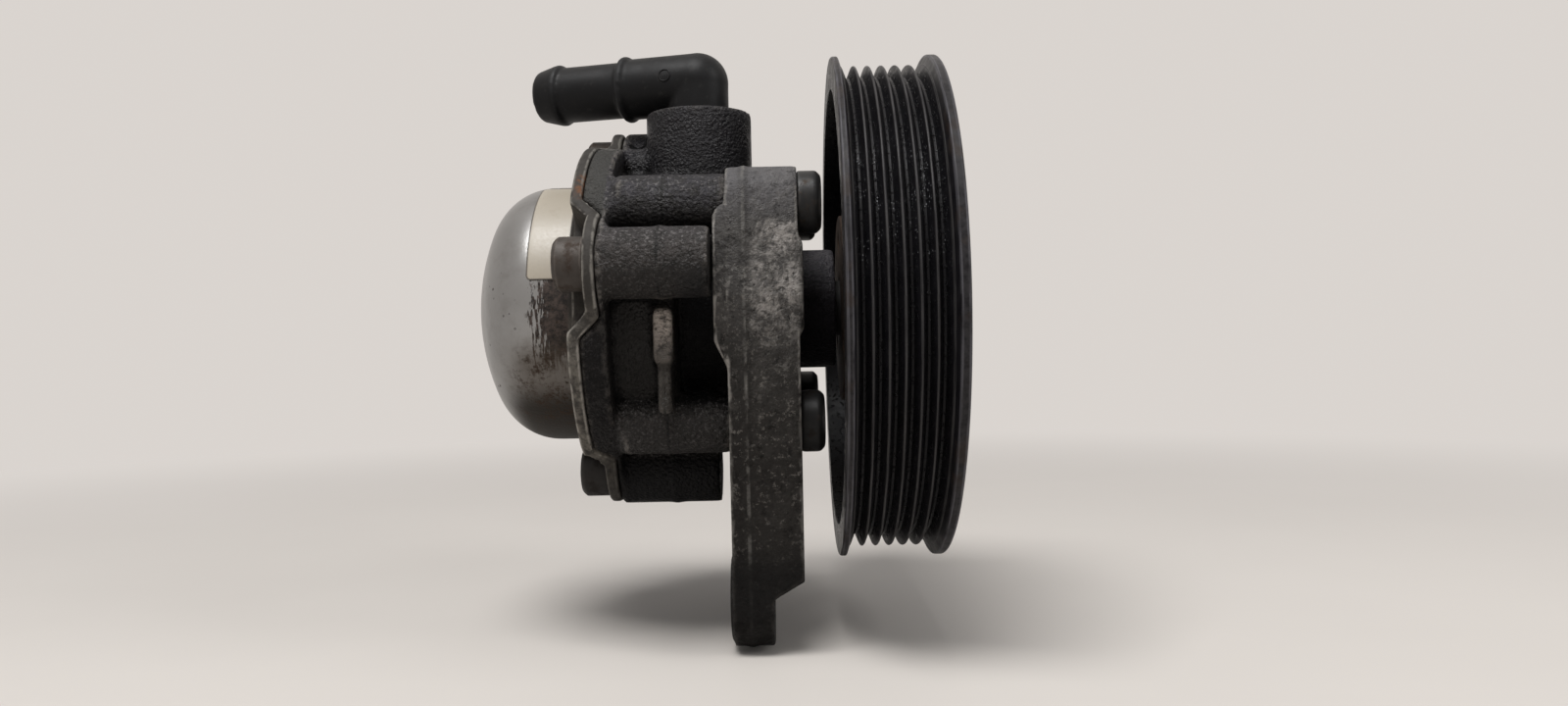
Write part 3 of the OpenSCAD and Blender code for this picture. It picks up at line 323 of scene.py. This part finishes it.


# %% [markdown]
# The rear cover is drawn from bright sheet steel. Its dome is still satin. Toward the rim it has a ragged band of
# burnt oil with streaks drawn out round the shaft, brown freckles below, and the rim itself is under grey
# grime that is blackest at the bottom, with both of its edges rubbed to a pale line. The dome's far end is painted
# darker as a painted reflection, its underside nearly black as painted shade, and its concave corners get painted
# shade.

# %% Freckled sheet steel
def cover_finish():
    f = Finish("freckled_sheet_steel")
    x, z = f.axis("X"), f.axis("Z")
    base = f.blend(f.noise(60.0, 4.0), (0.240, 0.237, 0.233), (0.340, 0.338, 0.335))
    haze = f.band(f.noise(95.0, 7.0, 0.7), 0.45, 0.70)
    base = f.blend(f.both(haze, 0.35), base, (0.150, 0.140, 0.128))
    # painted reflection: the dome's far end is painted darker, where its sheen falls off
    far_end = f.band(x, -0.0600, -0.0655)
    base = f.blend(f.both(far_end, 0.5), base, (0.135, 0.125, 0.115))
    streak, ragged_line = f.round_shaft(1500.0, 7.0), f.noise(120.0, 7.0, 0.72)
    ragged = f.band(ragged_line, 0.3, 0.7, -0.0016, 0.0016)
    shift = f.math("ADD", ragged, f.band(streak, 0.35, 0.65, -0.0020, 0.0020))
    burnt = f.both(f.band(f.math("ADD", x, shift), -0.0468, -0.0457),
                   f.band(f.math("ADD", z, shift), -0.0150, -0.0105))
    oil = f.blend(f.band(f.noise(520.0, 8.0, 0.78), 0.36, 0.66), (0.0050, 0.0036, 0.0030), (0.072, 0.052, 0.043))
    base = f.blend(f.both(burnt, 0.95), base, oil)
    low_side = f.both(f.near("Z", -0.0195, 0.0060, 0.0140), f.band(x, -0.0580, -0.0490))
    # painted shade: the dome's underside is painted nearly black
    under = f.both(f.band(z, -0.0165, -0.0250), f.band(x, -0.0610, -0.0510))
    base = f.blend(f.both(low_side, 0.72), base, (0.076, 0.060, 0.046))
    base = f.blend(f.both(under, 0.92), base, (0.018, 0.015, 0.012))
    crowd = f.band(f.noise(150.0, 6.0, 0.7), 0.38, 0.58)
    rust = f.both(f.both(low_side, crowd), f.band(f.noise(700.0, 6.0, 0.74), 0.44, 0.58))
    base = f.blend(f.both(rust, 0.92), base, (0.036, 0.022, 0.014))
    specks = f.both(f.band(f.cells(420.0), 0.10, 0.19, 1.0, 0.0), f.band(f.noise(70.0, 5.0), 0.50, 0.60))
    fine_specks = f.both(f.band(f.cells(1100.0), 0.18, 0.30, 1.0, 0.0), f.both(low_side, crowd))
    freckles = f.math("MAXIMUM", specks, fine_specks)
    base = f.blend(f.both(freckles, 0.85), base, (0.034, 0.024, 0.017))
    rim = f.band(x, -0.0392, -0.0381)
    grime = f.blend(f.noise(300.0, 7.0, 0.72), (0.015, 0.0135, 0.0120), (0.072, 0.066, 0.060))
    paler = f.both(f.band(z, 0.002, -0.008), f.band(f.noise(380.0, 5.0, 0.7), 0.36, 0.62))
    grime = f.blend(f.both(paler, 0.75), grime, (0.175, 0.160, 0.138))
    base = f.blend(rim, base, grime)
    line = f.both(f.edges(0.17, 0.28), f.both(rim, f.band(f.noise(330.0, 5.0), 0.32, 0.56)))
    base = f.blend(f.both(line, f.band(z, 0.006, -0.006, 0.48, 0.80)), base, (0.350, 0.328, 0.294))
    rim_bottom = f.both(rim, f.band(z, -0.0345, -0.0400))
    base = f.blend(f.both(rim_bottom, 0.72), base, (0.010, 0.009, 0.008))
    # painted shade: concave corners painted dark
    base = f.blend(f.hollows(), base, (0.010, 0.009, 0.008))
    stain = f.both(f.near("Z", 0.0300, 0.0010, 0.0045), f.band(f.noise(600.0, 5.0), 0.36, 0.56))
    base = f.blend(f.both(f.both(stain, f.band(x, -0.0372, -0.0355)), 0.8), base, (0.150, 0.062, 0.026))
    # the painted shade underneath counts together with the stains for dullness
    stain_and_shade = f.math("MAXIMUM", under, f.both(low_side, 0.45))
    spots = f.math("MAXIMUM", freckles, f.math("MAXIMUM", f.both(rust, 0.8), stain_and_shade))
    dull = f.math("MAXIMUM", spots, f.math("MAXIMUM", f.both(burnt, 0.8), rim))
    rough = f.band(dull, 0.0, 1.0, 0.32, 0.62)
    metal = f.band(dull, 0.0, 1.0, 0.95, 0.10)
    rasp = f.both(f.noise(1400.0, 3.0), f.band(dull, 0.0, 0.6, 0.12, 1.0))
    gloss = f.band(dull, 0.0, 0.8, 0.50, 0.12)
    return f.paint(base, rough, metal, heights=[(freckles, 0.4, -0.0002), (rasp, 0.35, 0.0004)], gloss=gloss)


# %% [markdown]
# The pulley is stamped steel in black satin paint. The belt has polished the crests to a thin grey line and
# left a film of oil in the grooves, with a few drops shown as painted glints. Thin painted highlights run along the
# flanges' edges; the web behind is dusty, and brown close to the hub. Distance from the shaft axis says which of
# these a point is.

# %% Worn pulley paint
# X of the flanges' outer edges and of the lines where their slopes begin, where highlights are painted, in metres
REAR_ARRIS, REAR_SLOPE, FRONT_SLOPE, FRONT_ARRIS = 0.0274, 0.0286, 0.05186, 0.05366


def pulley_finish():
    f = Finish("worn_black_paint", Specular_IOR_Level=0.16)
    r = f.radius()
    mottle = f.noise(240.0, 5.0)
    base = f.blend(mottle, (0.0028, 0.0026, 0.0034), (0.0084, 0.0079, 0.0094))
    around = f.round_shaft(4000.0, 5.0)
    on_crest = f.both(f.band(r, 0.06355, 0.06390), f.band(r, 0.06420, 0.06440, 1.0, 0.0))
    crest = f.both(on_crest, f.band(around, 0.30, 0.60))
    base = f.blend(f.both(crest, 0.85), base, (0.046, 0.044, 0.044))
    lip = f.both(f.band(r, 0.06595, 0.06640), f.band(f.noise(600.0, 6.0, 0.72), 0.30, 0.62))
    base = f.blend(f.both(lip, 0.75), base, (0.030, 0.028, 0.030))
    # painted highlight: thin pale lines along the flanges' edges and where their slopes begin
    arris_highlight = f.near("X", REAR_ARRIS, 0.00015, 0.0004)
    for place in (REAR_SLOPE, FRONT_SLOPE, FRONT_ARRIS):
        arris_highlight = f.math("MAXIMUM", arris_highlight, f.near("X", place, 0.00015, 0.0004))
    arris_highlight = f.both(f.both(arris_highlight, f.band(r, 0.0654, 0.0660)), f.band(around, 0.34, 0.58))
    base = f.blend(f.both(arris_highlight, 0.7), base, (0.095, 0.092, 0.102))
    brown = f.both(f.band(r, 0.0640, 0.0660), f.band(f.noise(160.0, 5.0), 0.52, 0.68))
    base = f.blend(f.both(brown, 0.4), base, (0.034, 0.022, 0.015))
    rust = f.both(f.band(r, 0.0240, 0.0400, 1.0, 0.0), f.band(f.noise(210.0, 6.0, 0.7), 0.48, 0.66))
    base = f.blend(f.both(rust, 0.5), base, (0.062, 0.034, 0.020))
    dust = f.both(f.band(r, 0.0570, 0.0590, 1.0, 0.0), f.band(f.noise(90.0, 7.0, 0.7), 0.42, 0.70))
    base = f.blend(f.both(dust, 0.22), base, (0.075, 0.066, 0.056))
    # painted glints: pale dots in the upper grooves stand for light caught by oil drops
    drop_glints = f.both(f.band(f.cells(1300.0), 0.15, 0.24, 1.0, 0.0), f.band(f.noise(150.0, 4.0), 0.48, 0.58))
    drop_glints = f.both(f.both(drop_glints, f.band(r, 0.0632, 0.0636, 1.0, 0.0)), f.near("Z", 0.0210, 0.0090, 0.0170))
    drop_glints = f.both(drop_glints, f.band(r, 0.0600, 0.0606))
    base = f.blend(f.both(drop_glints, 0.9), base, (0.300, 0.300, 0.315))
    oil = f.both(f.band(r, 0.0622, 0.0634, 1.0, 0.0), f.band(f.noise(900.0, 4.0), 0.56, 0.64))
    rough = f.math("SUBTRACT", f.band(mottle, 0.3, 0.7, 0.34, 0.50), f.both(oil, 0.26))
    rough = f.math("ADD", rough, f.both(rust, 0.30))
    return f.paint(base, rough, heights=[(f.noise(1600.0, 3.0), 0.12, 0.0002), (oil, 0.6, 0.0005)])


# %% [markdown]
# The elbow is moulded black plastic: slightly mottled, a little dusty, paler on its edges, with a soft sheen.

# %% Moulded elbow plastic
def elbow_finish():
    f = Finish("moulded_plastic", Specular_IOR_Level=0.17)
    cloud = f.noise(130.0, 5.0)
    base = f.blend(cloud, (0.0034, 0.0034, 0.0038), (0.0078, 0.0078, 0.0085))
    dust = f.band(f.noise(420.0, 6.0, 0.7), 0.54, 0.72)
    base = f.blend(f.both(dust, 0.22), base, (0.060, 0.057, 0.054))
    base = f.blend(f.both(f.edges(), 0.4), base, (0.034, 0.034, 0.036))
    rough = f.band(cloud, 0.3, 0.7, 0.42, 0.58)
    return f.paint(base, rough, heights=[(f.noise(2400.0, 2.0), 0.15, 0.0002)])


# %% [markdown]
# Bolts, plug, hub and the inner pieces share a few metal recipes that differ in colour, roughness and how
# far rust or oil has got. A ground steel has fine scratches, a bronze is warmer, rubber is matt.

# %% Small metal, rubber and paper finishes
def stained_metal(name, dark, light, stain, amount, roughness, metallic, soot=0.0):
    """Two greys clouded together, stain colour over them by an amount, paler edges, soot low on the part."""
    f = Finish(name, Metallic=metallic, Specular_IOR_Level=0.25)
    base = f.blend(f.noise(380.0, 5.0), dark, light)
    spots = f.band(f.noise(260.0, 6.0, 0.7), 0.62 - 0.25 * amount, 0.74 - 0.15 * amount)
    base = f.blend(f.both(spots, 0.9), base, stain)
    base = f.blend(f.both(f.edges(), 0.5), base, tuple(min(1.0, 2.2 * c + 0.03) for c in light))
    base = f.blend(f.both(f.band(f.axis("Z"), -0.008, -0.024), soot), base, (0.0060, 0.0058, 0.0058))
    rough = f.band(spots, 0.0, 1.0, roughness, min(0.9, roughness + 0.25))
    return f.paint(base, rough, heights=[(f.noise(1500.0, 3.0), 0.2, 0.0002), (spots, 0.2, 0.0002)])


def ground_metal(name, colour, roughness):
    """One metal colour, darker and lighter along fine scratches."""
    f = Finish(name, Metallic=1.0)
    scratch = f.noise(1.0, 3.0, where=f.stretched((3500.0, 260.0, 260.0)))
    base = f.blend(scratch, tuple(0.75 * c for c in colour), colour)
    return f.paint(base, f.band(scratch, 0.3, 0.7, roughness, roughness + 0.15), heights=[(scratch, 0.08, 0.0001)])


def rubber_finish():
    f = Finish("seal_rubber", Specular_IOR_Level=0.25)
    cloud = f.noise(700.0, 4.0)
    return f.paint(f.blend(cloud, (0.010, 0.010, 0.010), (0.026, 0.026, 0.026)), f.band(cloud, 0.3, 0.7, 0.6, 0.8))


def label_finish():
    f = Finish("cream_paper", Coat_Weight=0.3, Coat_Roughness=0.3)
    fibre = f.noise(1500.0, 4.0)
    base = f.blend(fibre, (0.335, 0.294, 0.232), (0.392, 0.345, 0.274))
    age = f.band(f.noise(190.0, 6.0, 0.7), 0.55, 0.72)
    base = f.blend(f.both(age, 0.45), base, (0.300, 0.250, 0.185))
    base = f.blend(f.both(f.hollows(-0.15, -0.70), 0.85), base, (0.030, 0.024, 0.018))
    return f.paint(base, f.band(fibre, 0.3, 0.7, 0.42, 0.58), heights=[(fibre, 0.1, 0.0001)])


finishes = {
    "housing_metal": housing_finish(),
    "bracket_metal": bracket_finish(),
    "cover_steel": cover_finish(),
    "pulley_paint": pulley_finish(),
    "elbow_plastic": elbow_finish(),
    "seal_rubber": rubber_finish(),
    "bolt_steel": stained_metal("dark_bolt_steel", (0.012, 0.012, 0.013), (0.040, 0.039, 0.038),
                                (0.055, 0.040, 0.030), 0.4, 0.42, 0.3, soot=0.6),
    "cover_bolt_steel": stained_metal("browned_bolt_steel", (0.032, 0.027, 0.024), (0.078, 0.066, 0.057),
                                      (0.040, 0.027, 0.020), 0.6, 0.52, 0.2, soot=0.8),
    "hub_steel": stained_metal("rusty_hub_steel", (0.026, 0.017, 0.012), (0.070, 0.042, 0.026),
                               (0.022, 0.013, 0.009), 0.8, 0.80, 0.0),
    "plug_steel": stained_metal("plated_steel", (0.180, 0.172, 0.150), (0.330, 0.318, 0.285),
                                (0.080, 0.060, 0.042), 0.3, 0.40, 0.9),
    "spring_steel": ground_metal("spring_steel", (0.32, 0.32, 0.33), 0.30),
    "bush_brass": ground_metal("bearing_bronze", (0.52, 0.36, 0.16), 0.32),
    "cage_brass": ground_metal("cage_brass", (0.50, 0.35, 0.15), 0.34),
    "bearing_steel": ground_metal("bearing_steel", (0.62, 0.63, 0.65), 0.14),
    "pack_steel": ground_metal("ground_steel", (0.44, 0.44, 0.43), 0.28),
    "shaft_steel": ground_metal("shaft_steel", (0.52, 0.53, 0.54), 0.24),
}
for entry in frame["record"]["subparts"]:
    mesh = nodes[entry["node"]].data
    mesh.materials.clear()
    mesh.materials.append(finishes[entry["material_slot"]])
oiled_steel = stained_metal("oiled_shaft_steel", (0.010, 0.010, 0.010), (0.028, 0.027, 0.026),
                            (0.020, 0.014, 0.010), 0.5, 0.60, 0.2)
nodes["drive_shaft"].data.materials[0] = oiled_steel
print("finishes:", len(finishes))

# %% [markdown]
# Cast, drawn and moulded pieces have no knife edges. A copy of each such solid is rebuilt from small voxels and
# relaxed a few times: the relaxing rounds every edge by about a voxel and fills inner corners, which is what a
# foundry's fillets look like. The voxel is chosen small enough to keep the parting lines. The same relaxing,
# carried on for longer on a copy of the points, tells edges from hollows: a point that ends up below its old
# place stood proud. That measure is kept on the piece, and the finishes rub and darken by it.

# %% Soft-edged copies of the castings
slot_of = {entry["node"]: entry["material_slot"] for entry in frame["record"]["subparts"]}
WEAR_PASSES = 6
body_of = {node: body for body, names in frame["record"]["behaviour"]["bodies"].items() for node in names}


def merged_copy(node):
    """A copy of a node's mesh, with its loose triangles joined at shared corners."""
    mesh = nodes[node].data
    count = len(mesh.vertices)
    spots = np.empty(count * 3)
    mesh.vertices.foreach_get("co", spots)
    corners = np.empty(len(mesh.loops), dtype=np.int64)
    mesh.loops.foreach_get("vertex_index", corners)
    keys = np.round(spots.reshape(-1, 3) * 1e7).astype(np.int64)
    _, first, where = np.unique(keys, axis=0, return_index=True, return_inverse=True)
    faces = where.reshape(-1)[corners].reshape(-1, 3)
    whole = (faces[:, 0] != faces[:, 1]) & (faces[:, 1] != faces[:, 2]) & (faces[:, 2] != faces[:, 0])
    copy = bpy.data.meshes.new(node + "_soft")
    copy.from_pydata(spots.reshape(-1, 3)[first].tolist(), [], faces[whole].tolist())
    return copy


def shade_smooth(mesh):
    """Lets the light run over the edges between a mesh's faces."""
    mesh.polygons.foreach_set("use_smooth", np.ones(len(mesh.polygons), dtype=bool))


def finished(name, mesh, node):
    """Links a new piece, gives it its finish, and lets it ride with the node's body."""
    piece = bpy.data.objects.new(name, mesh)
    bpy.context.scene.collection.objects.link(piece)
    mesh.materials.append(finishes[slot_of[node]])
    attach(piece, body_of[node])
    return piece


def stand_out(mesh, passes):
    """How far each point stands proud, along its normal, of the same mesh relaxed so many times, in metres.

    One pass moves a point half way to the mean of its neighbours.
    """
    count = len(mesh.vertices)
    spots, normals = np.empty(count * 3), np.empty(count * 3)
    mesh.vertices.foreach_get("co", spots)
    mesh.vertices.foreach_get("normal", normals)
    ends = np.empty(len(mesh.edges) * 2, dtype=np.int64)
    mesh.edges.foreach_get("vertices", ends)
    a, b = ends.reshape(-1, 2).T
    links = np.bincount(np.concatenate([a, b]), minlength=count)[:, None]
    old = spots.reshape(-1, 3)
    new = old.copy()
    for _ in range(passes):
        total = [np.bincount(a, new[b, k], count) + np.bincount(b, new[a, k], count) for k in range(3)]
        new = 0.5 * new + 0.5 * np.stack(total, axis=-1) / links
    return np.einsum("ij,ij->i", old - new, normals.reshape(-1, 3))


def soften(node, voxel, passes):
    """Voxel remesh of the merged copy, then Laplacian relaxing; the result replaces the node."""
    piece = finished(node + "_soft", merged_copy(node), node)
    remesh = piece.modifiers.new("voxels", "REMESH")
    remesh.mode = "VOXEL"
    remesh.voxel_size = voxel
    relax = piece.modifiers.new("relax", "SMOOTH")
    relax.factor = 0.5
    relax.iterations = passes
    bpy.context.view_layer.update()
    baked = bpy.data.meshes.new_from_object(piece.evaluated_get(bpy.context.evaluated_depsgraph_get()))
    piece.modifiers.clear()
    piece.data = baked
    shade_smooth(baked)
    wear = baked.attributes.new("wear", "FLOAT", "POINT")
    wear.data.foreach_set("value", (stand_out(baked, WEAR_PASSES) / voxel).astype(np.float32))
    if not baked.materials:
        baked.materials.append(finishes[slot_of[node]])
    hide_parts(node)
    print(node, "softened:", len(baked.polygons), "faces")
    return piece


for node, voxel, passes in [("pump_housing", 0.0009, 3), ("mounting_bracket", 0.0006, 5), ("rear_cover", 0.0006, 9),
                            ("suction_elbow", 0.0005, 4), ("bracket_bolts", 0.0004, 10), ("cover_bolts", 0.00035, 5)]:
    soften(node, voxel, passes)

# %% [markdown]
# Machined and stamped pieces keep crisp edges, but a real edge still has a tiny break that catches the light.
# A narrow bevel on the sharp edges, and normals averaged only over gentle angles, give that.

# %% Crisp copies of machined pieces
def crisp(node, width):
    """Merged copy with bevelled sharp edges; the result replaces the node."""
    piece = finished(node + "_crisp", merged_copy(node), node)
    shade_smooth(piece.data)
    bevel = piece.modifiers.new("edge break", "BEVEL")
    bevel.width = width
    bevel.segments = 2
    bevel.limit_method = "ANGLE"
    bevel.angle_limit = math.radians(32)
    bevel.harden_normals = True
    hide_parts(node)
    return piece


for node, width in [("pulley", 0.00018), ("pulley_web", 0.0004), ("drive_hub", 0.0004), ("pulley_bolts", 0.0003),
                    ("valve_plug", 0.0004)]:
    print(crisp(node, width).name, "made")

# %% [markdown]
# Two springs sit in the valves. Each gets a smooth-shaded copy that rides with its node's body; the record's
# joints say which nodes they are.

# %% Spring copies
for joint in frame["record"]["behaviour"]["joints"]:
    for spring in joint.get("deforming_nodes", []):
        node = spring["node"]
        coil = finished(node + "_coil", merged_copy(node), node)
        shade_smooth(coil.data)
        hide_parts(node)
        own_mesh(coil)

# %% [markdown]
# The elbow's mould has left a small round mark on the near side of its outlet. It is a thin ring bent onto the
# tube: one parameter runs round the ring, the other round its own section.

# %% Mould mark on the elbow
OUTLET_TURN, OUTLET_START, OUTLET_R = math.radians(165.0), (-0.0084, 0.0, 0.0620), 0.0082


def mould_ring(along, up, ring_r, wire_r, rows=40, columns=10):
    """A ring of radius ring_r on the outlet's near side, with a round section of radius wire_r.

    A ring point is a distance along the outlet and an angle round it; the section lifts it off the tube's radius.
    """
    u = np.linspace(0.0, 2.0 * math.pi, rows, endpoint=False)[:, None]
    v = np.linspace(0.0, 2.0 * math.pi, columns, endpoint=False)[None, :]
    reach = ring_r + wire_r * np.cos(v)
    s = along + reach * np.cos(u)
    turn = (up + reach * np.sin(u)) / OUTLET_R
    lift = OUTLET_R + wire_r * np.sin(v) + 0.0 * u
    way = np.array([math.cos(OUTLET_TURN), math.sin(OUTLET_TURN), 0.0])
    side = np.array([math.sin(-OUTLET_TURN), math.cos(OUTLET_TURN), 0.0])
    over = np.array([0.0, 0.0, 1.0])
    spread = s[..., None] * way + (lift * np.cos(turn))[..., None] * side + (lift * np.sin(turn))[..., None] * over
    return np.array(OUTLET_START) + spread


def ring_faces(rows, columns):
    """Quads of a grid that closes on itself both ways."""
    corner = np.arange(rows * columns).reshape(rows, columns)
    right, down = np.roll(corner, -1, axis=1), np.roll(corner, -1, axis=0)
    return np.stack([corner, down, np.roll(down, -1, axis=1), right], axis=-1).reshape(-1, 4)


points = mould_ring(0.0068, 0.0012, 0.0016, 0.00022)
mesh = bpy.data.meshes.new("mould_mark")
mesh.from_pydata(points.reshape(-1, 3).tolist(), [], ring_faces(*points.shape[:2]).tolist())
shade_smooth(mesh)
print("mould mark:", finished("mould_mark", mesh, "suction_elbow").name)

# %% [markdown]
# A paper label lies on the dome's shoulder. It is a grid bent round the cover: one direction follows the
# dome's own section, the other goes round the shaft. Its corners are rounded by drawing in the rows near
# both ends, and the sheet gets a hair of thickness. Grime has gathered along its edge. It stays bare.

# %% Paper label on the dome
DOME_R, KNUCKLE_R, KNUCKLE_X, FLANGE_X = 0.034, 0.016, -0.04684, -0.038
PAPER_LIFT, PAPER_THICKNESS, GRIME_WIDTH = 0.00006, 0.00012, 0.0006


def dome_point(arc, turn, lift):
    """Point on the dome: arc is the length along its section from X = -38 mm to the rear, turn the angle from +Y.

    Section: straight at radius 34 mm up to the knuckle, then an arc of radius 16 mm; lift stands off the metal.
    """
    straight = FLANGE_X - KNUCKLE_X
    bend = np.clip((arc - straight) / KNUCKLE_R, 0.0, None)
    x = FLANGE_X - np.minimum(arc, straight) - (KNUCKLE_R + lift) * np.sin(bend)
    r = DOME_R - KNUCKLE_R + (KNUCKLE_R + lift) * np.cos(bend)
    return np.stack([x, r * np.cos(turn), r * np.sin(turn)], axis=-1)


def grid_faces(rows, columns):
    """Quads of a rows x columns grid of points, as indices."""
    corner = np.arange(rows * columns).reshape(rows, columns)
    quads = np.stack([corner[:-1, :-1], corner[1:, :-1], corner[1:, 1:], corner[:-1, 1:]], axis=-1)
    return quads.reshape(-1, 4)


def label_sheet(arc0, arc1, turn0, turn1, corner, rows=40, columns=120):
    """A rounded rectangle on the dome, and each point's distance from its edge, in metres.

    Rows run along the section, columns round the shaft. Near each end a column's rows are drawn in by
    corner * (1 - sqrt(1 - t * t)), a quarter circle.
    """
    v = np.linspace(0.0, 1.0, columns)[None, :]
    u = np.linspace(-1.0, 1.0, rows)[:, None]
    length = abs(turn1 - turn0) * DOME_R
    from_end = np.minimum(v, 1.0 - v) * length
    t = np.clip(1.0 - from_end / corner, 0.0, 1.0)
    half = (arc1 - arc0) / 2 - corner * (1.0 - np.sqrt(1.0 - t * t))
    arc = (arc0 + arc1) / 2 + u * half
    turn = turn0 + (turn1 - turn0) * v + 0.0 * u
    return dome_point(arc, turn, PAPER_LIFT), np.minimum((1.0 - np.abs(u)) * half, from_end + 0.0 * u)


points, inside = label_sheet(0.0006, 0.0110, math.radians(107), math.radians(168), 0.0014)
mesh = bpy.data.meshes.new("paper_label")
mesh.from_pydata(points.reshape(-1, 3).tolist(), [], grid_faces(*points.shape[:2]).tolist())
shade_smooth(mesh)
grimy = mesh.attributes.new("wear", "FLOAT", "POINT")
grimy.data.foreach_set("value", -np.clip(1.0 - inside / GRIME_WIDTH, 0.0, 1.0).reshape(-1).astype(np.float32))
finishes["label_paper"] = label_finish()
label = bpy.data.objects.new("paper_label", mesh)
bpy.context.scene.collection.objects.link(label)
mesh.materials.append(finishes["label_paper"])
paper = label.modifiers.new("paper", "SOLIDIFY")
paper.thickness = PAPER_THICKNESS
paper.offset = 1.0
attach(label, "pump")
print("label:", points.shape)

# %% [markdown]
# The stage is one wide pale sheet. Near the pump it is a plain matt floor that takes the shadow. Farther out it
# goes over to an even glow that only the eye, metal and glass see, and the room has that same tone for them,
# so no edge or horizon shows from any side and no light is added to the object.

# %% Floor
FLOOR_GAP = 0.0005
floor_z = cad_box[0][2] - FLOOR_GAP
ROOM_TONE = (0.700, 0.660, 0.626, 1.0)


def floor_grid(half, count=9):
    """A flat square of side 2 * half just below the foot's end, as a grid of points."""
    x, y = np.meshgrid(np.linspace(-half, half, count), np.linspace(-half, half, count), indexing="ij")
    return np.stack([x, y, np.full_like(x, floor_z)], axis=-1)


def seen_not_lit(tree):
    """1 for the rays of the eye, of reflections and of glass, 0 for the rays that carry light."""
    path = tree.nodes.new("ShaderNodeLightPath")
    total = path.outputs["Is Camera Ray"]
    for ray in ("Is Glossy Ray", "Is Transmission Ray"):
        step = tree.nodes.new("ShaderNodeMath")
        step.operation = "MAXIMUM"
        tree.links.new(total, step.inputs[0])
        tree.links.new(path.outputs[ray], step.inputs[1])
        total = step.outputs["Value"]
    return total


points = floor_grid(8.0)
mesh = bpy.data.meshes.new("floor")
mesh.from_pydata(points.reshape(-1, 3).tolist(), [], grid_faces(*points.shape[:2]).tolist())
floor = bpy.data.objects.new("floor", mesh)
bpy.context.scene.collection.objects.link(floor)
stage = Finish("pale_floor", Roughness=0.6, Specular_IOR_Level=0.2)
x, y = stage.axis("X"), stage.axis("Y")
away = stage.math("SQRT", stage.math("ADD", stage.both(x, x), stage.both(y, y)))
glow = stage.add("ShaderNodeEmission", Color=ROOM_TONE, Strength=1.0)
fade = stage.add("ShaderNodeMixShader", Fac=stage.both(stage.band(away, 0.16, 0.75), seen_not_lit(stage.tree)))
stage.tree.links.new(stage.shader.outputs["BSDF"], fade.inputs[1])
stage.tree.links.new(glow.outputs["Emission"], fade.inputs[2])
stage.tree.links.new(fade.outputs["Shader"], stage.tree.nodes["Material Output"].inputs["Surface"])
floor_colour = stage.blend(stage.noise(9.0, 3.0), (0.620, 0.580, 0.540), (0.660, 0.618, 0.576))
mesh.materials.append(stage.paint(floor_colour))
print("floor at", round(floor_z, 4))

# %% [markdown]
# Light: a pale room fills the shadows, a wide lamp high up on the camera's left shapes the metal, and a weaker
# one from the right draws the line along the pulley's rim.

# %% Lamps and room
world = bpy.data.worlds.new("pale_room")
bpy.context.scene.world = world
world.use_nodes = True
room = world.node_tree
fill = room.nodes["Background"]
fill.inputs["Color"].default_value = (0.95, 0.97, 1.0, 1.0)
fill.inputs["Strength"].default_value = 0.21
shown = room.nodes.new("ShaderNodeBackground")
shown.inputs["Color"].default_value = ROOM_TONE
either = room.nodes.new("ShaderNodeMixShader")
room.links.new(seen_not_lit(room), either.inputs["Fac"])
room.links.new(fill.outputs["Background"], either.inputs[1])
room.links.new(shown.outputs["Background"], either.inputs[2])
room.links.new(either.outputs["Shader"], room.nodes["World Output"].inputs["Surface"])


def lamp(name, place, target, width, depth, watts):
    """A rectangular lamp that faces a target."""
    data = bpy.data.lights.new(name, "AREA")
    data.shape = "RECTANGLE"
    data.size, data.size_y, data.energy = width, depth, watts
    lamp_object = bpy.data.objects.new(name, data)
    lamp_object.location = place
    way = np.array(target) - np.array(place)
    yaw = math.atan2(way[1], way[0]) - math.pi / 2
    pitch = math.acos(-way[2] / np.linalg.norm(way))
    lamp_object.rotation_euler = (pitch, 0.0, yaw)
    bpy.context.scene.collection.objects.link(lamp_object)
    print("lamp:", name, watts, "W")


lamp("key", (-0.22, -0.44, 1.05), (0.0, 0.0, -0.01), 0.6, 0.5, 14.0)
lamp("rim", (0.80, -0.35, 0.45), (0.03, 0.0, 0.0), 0.3, 0.7, 3.0)

# %% [markdown]
# The camera stands level, square to the shaft, close enough that the dome and the pulley are both seen a
# little from inside. Its lens is given by the photo's width, and it leans by about a degree.

# %% Camera
SENSOR_MM, PHOTO_PIXELS, FOCAL_PIXELS, LEAN = 36.0, 1600.0, 1135.0, 0.021
camera = bpy.data.cameras.new("camera")
camera.sensor_fit = "HORIZONTAL"
camera.sensor_width = SENSOR_MM
camera.lens = SENSOR_MM * FOCAL_PIXELS / PHOTO_PIXELS
camera.clip_start = 0.01
viewer = bpy.data.objects.new("camera", camera)
viewer.location = (0.0135, -0.304, -0.0119)
viewer.rotation_euler = (math.pi / 2, LEAN, 0.0)
bpy.context.scene.collection.objects.link(viewer)
bpy.context.scene.camera = viewer
bpy.context.scene.view_settings.view_transform = "Standard"
print("camera lens:", round(camera.lens, 2), "mm")
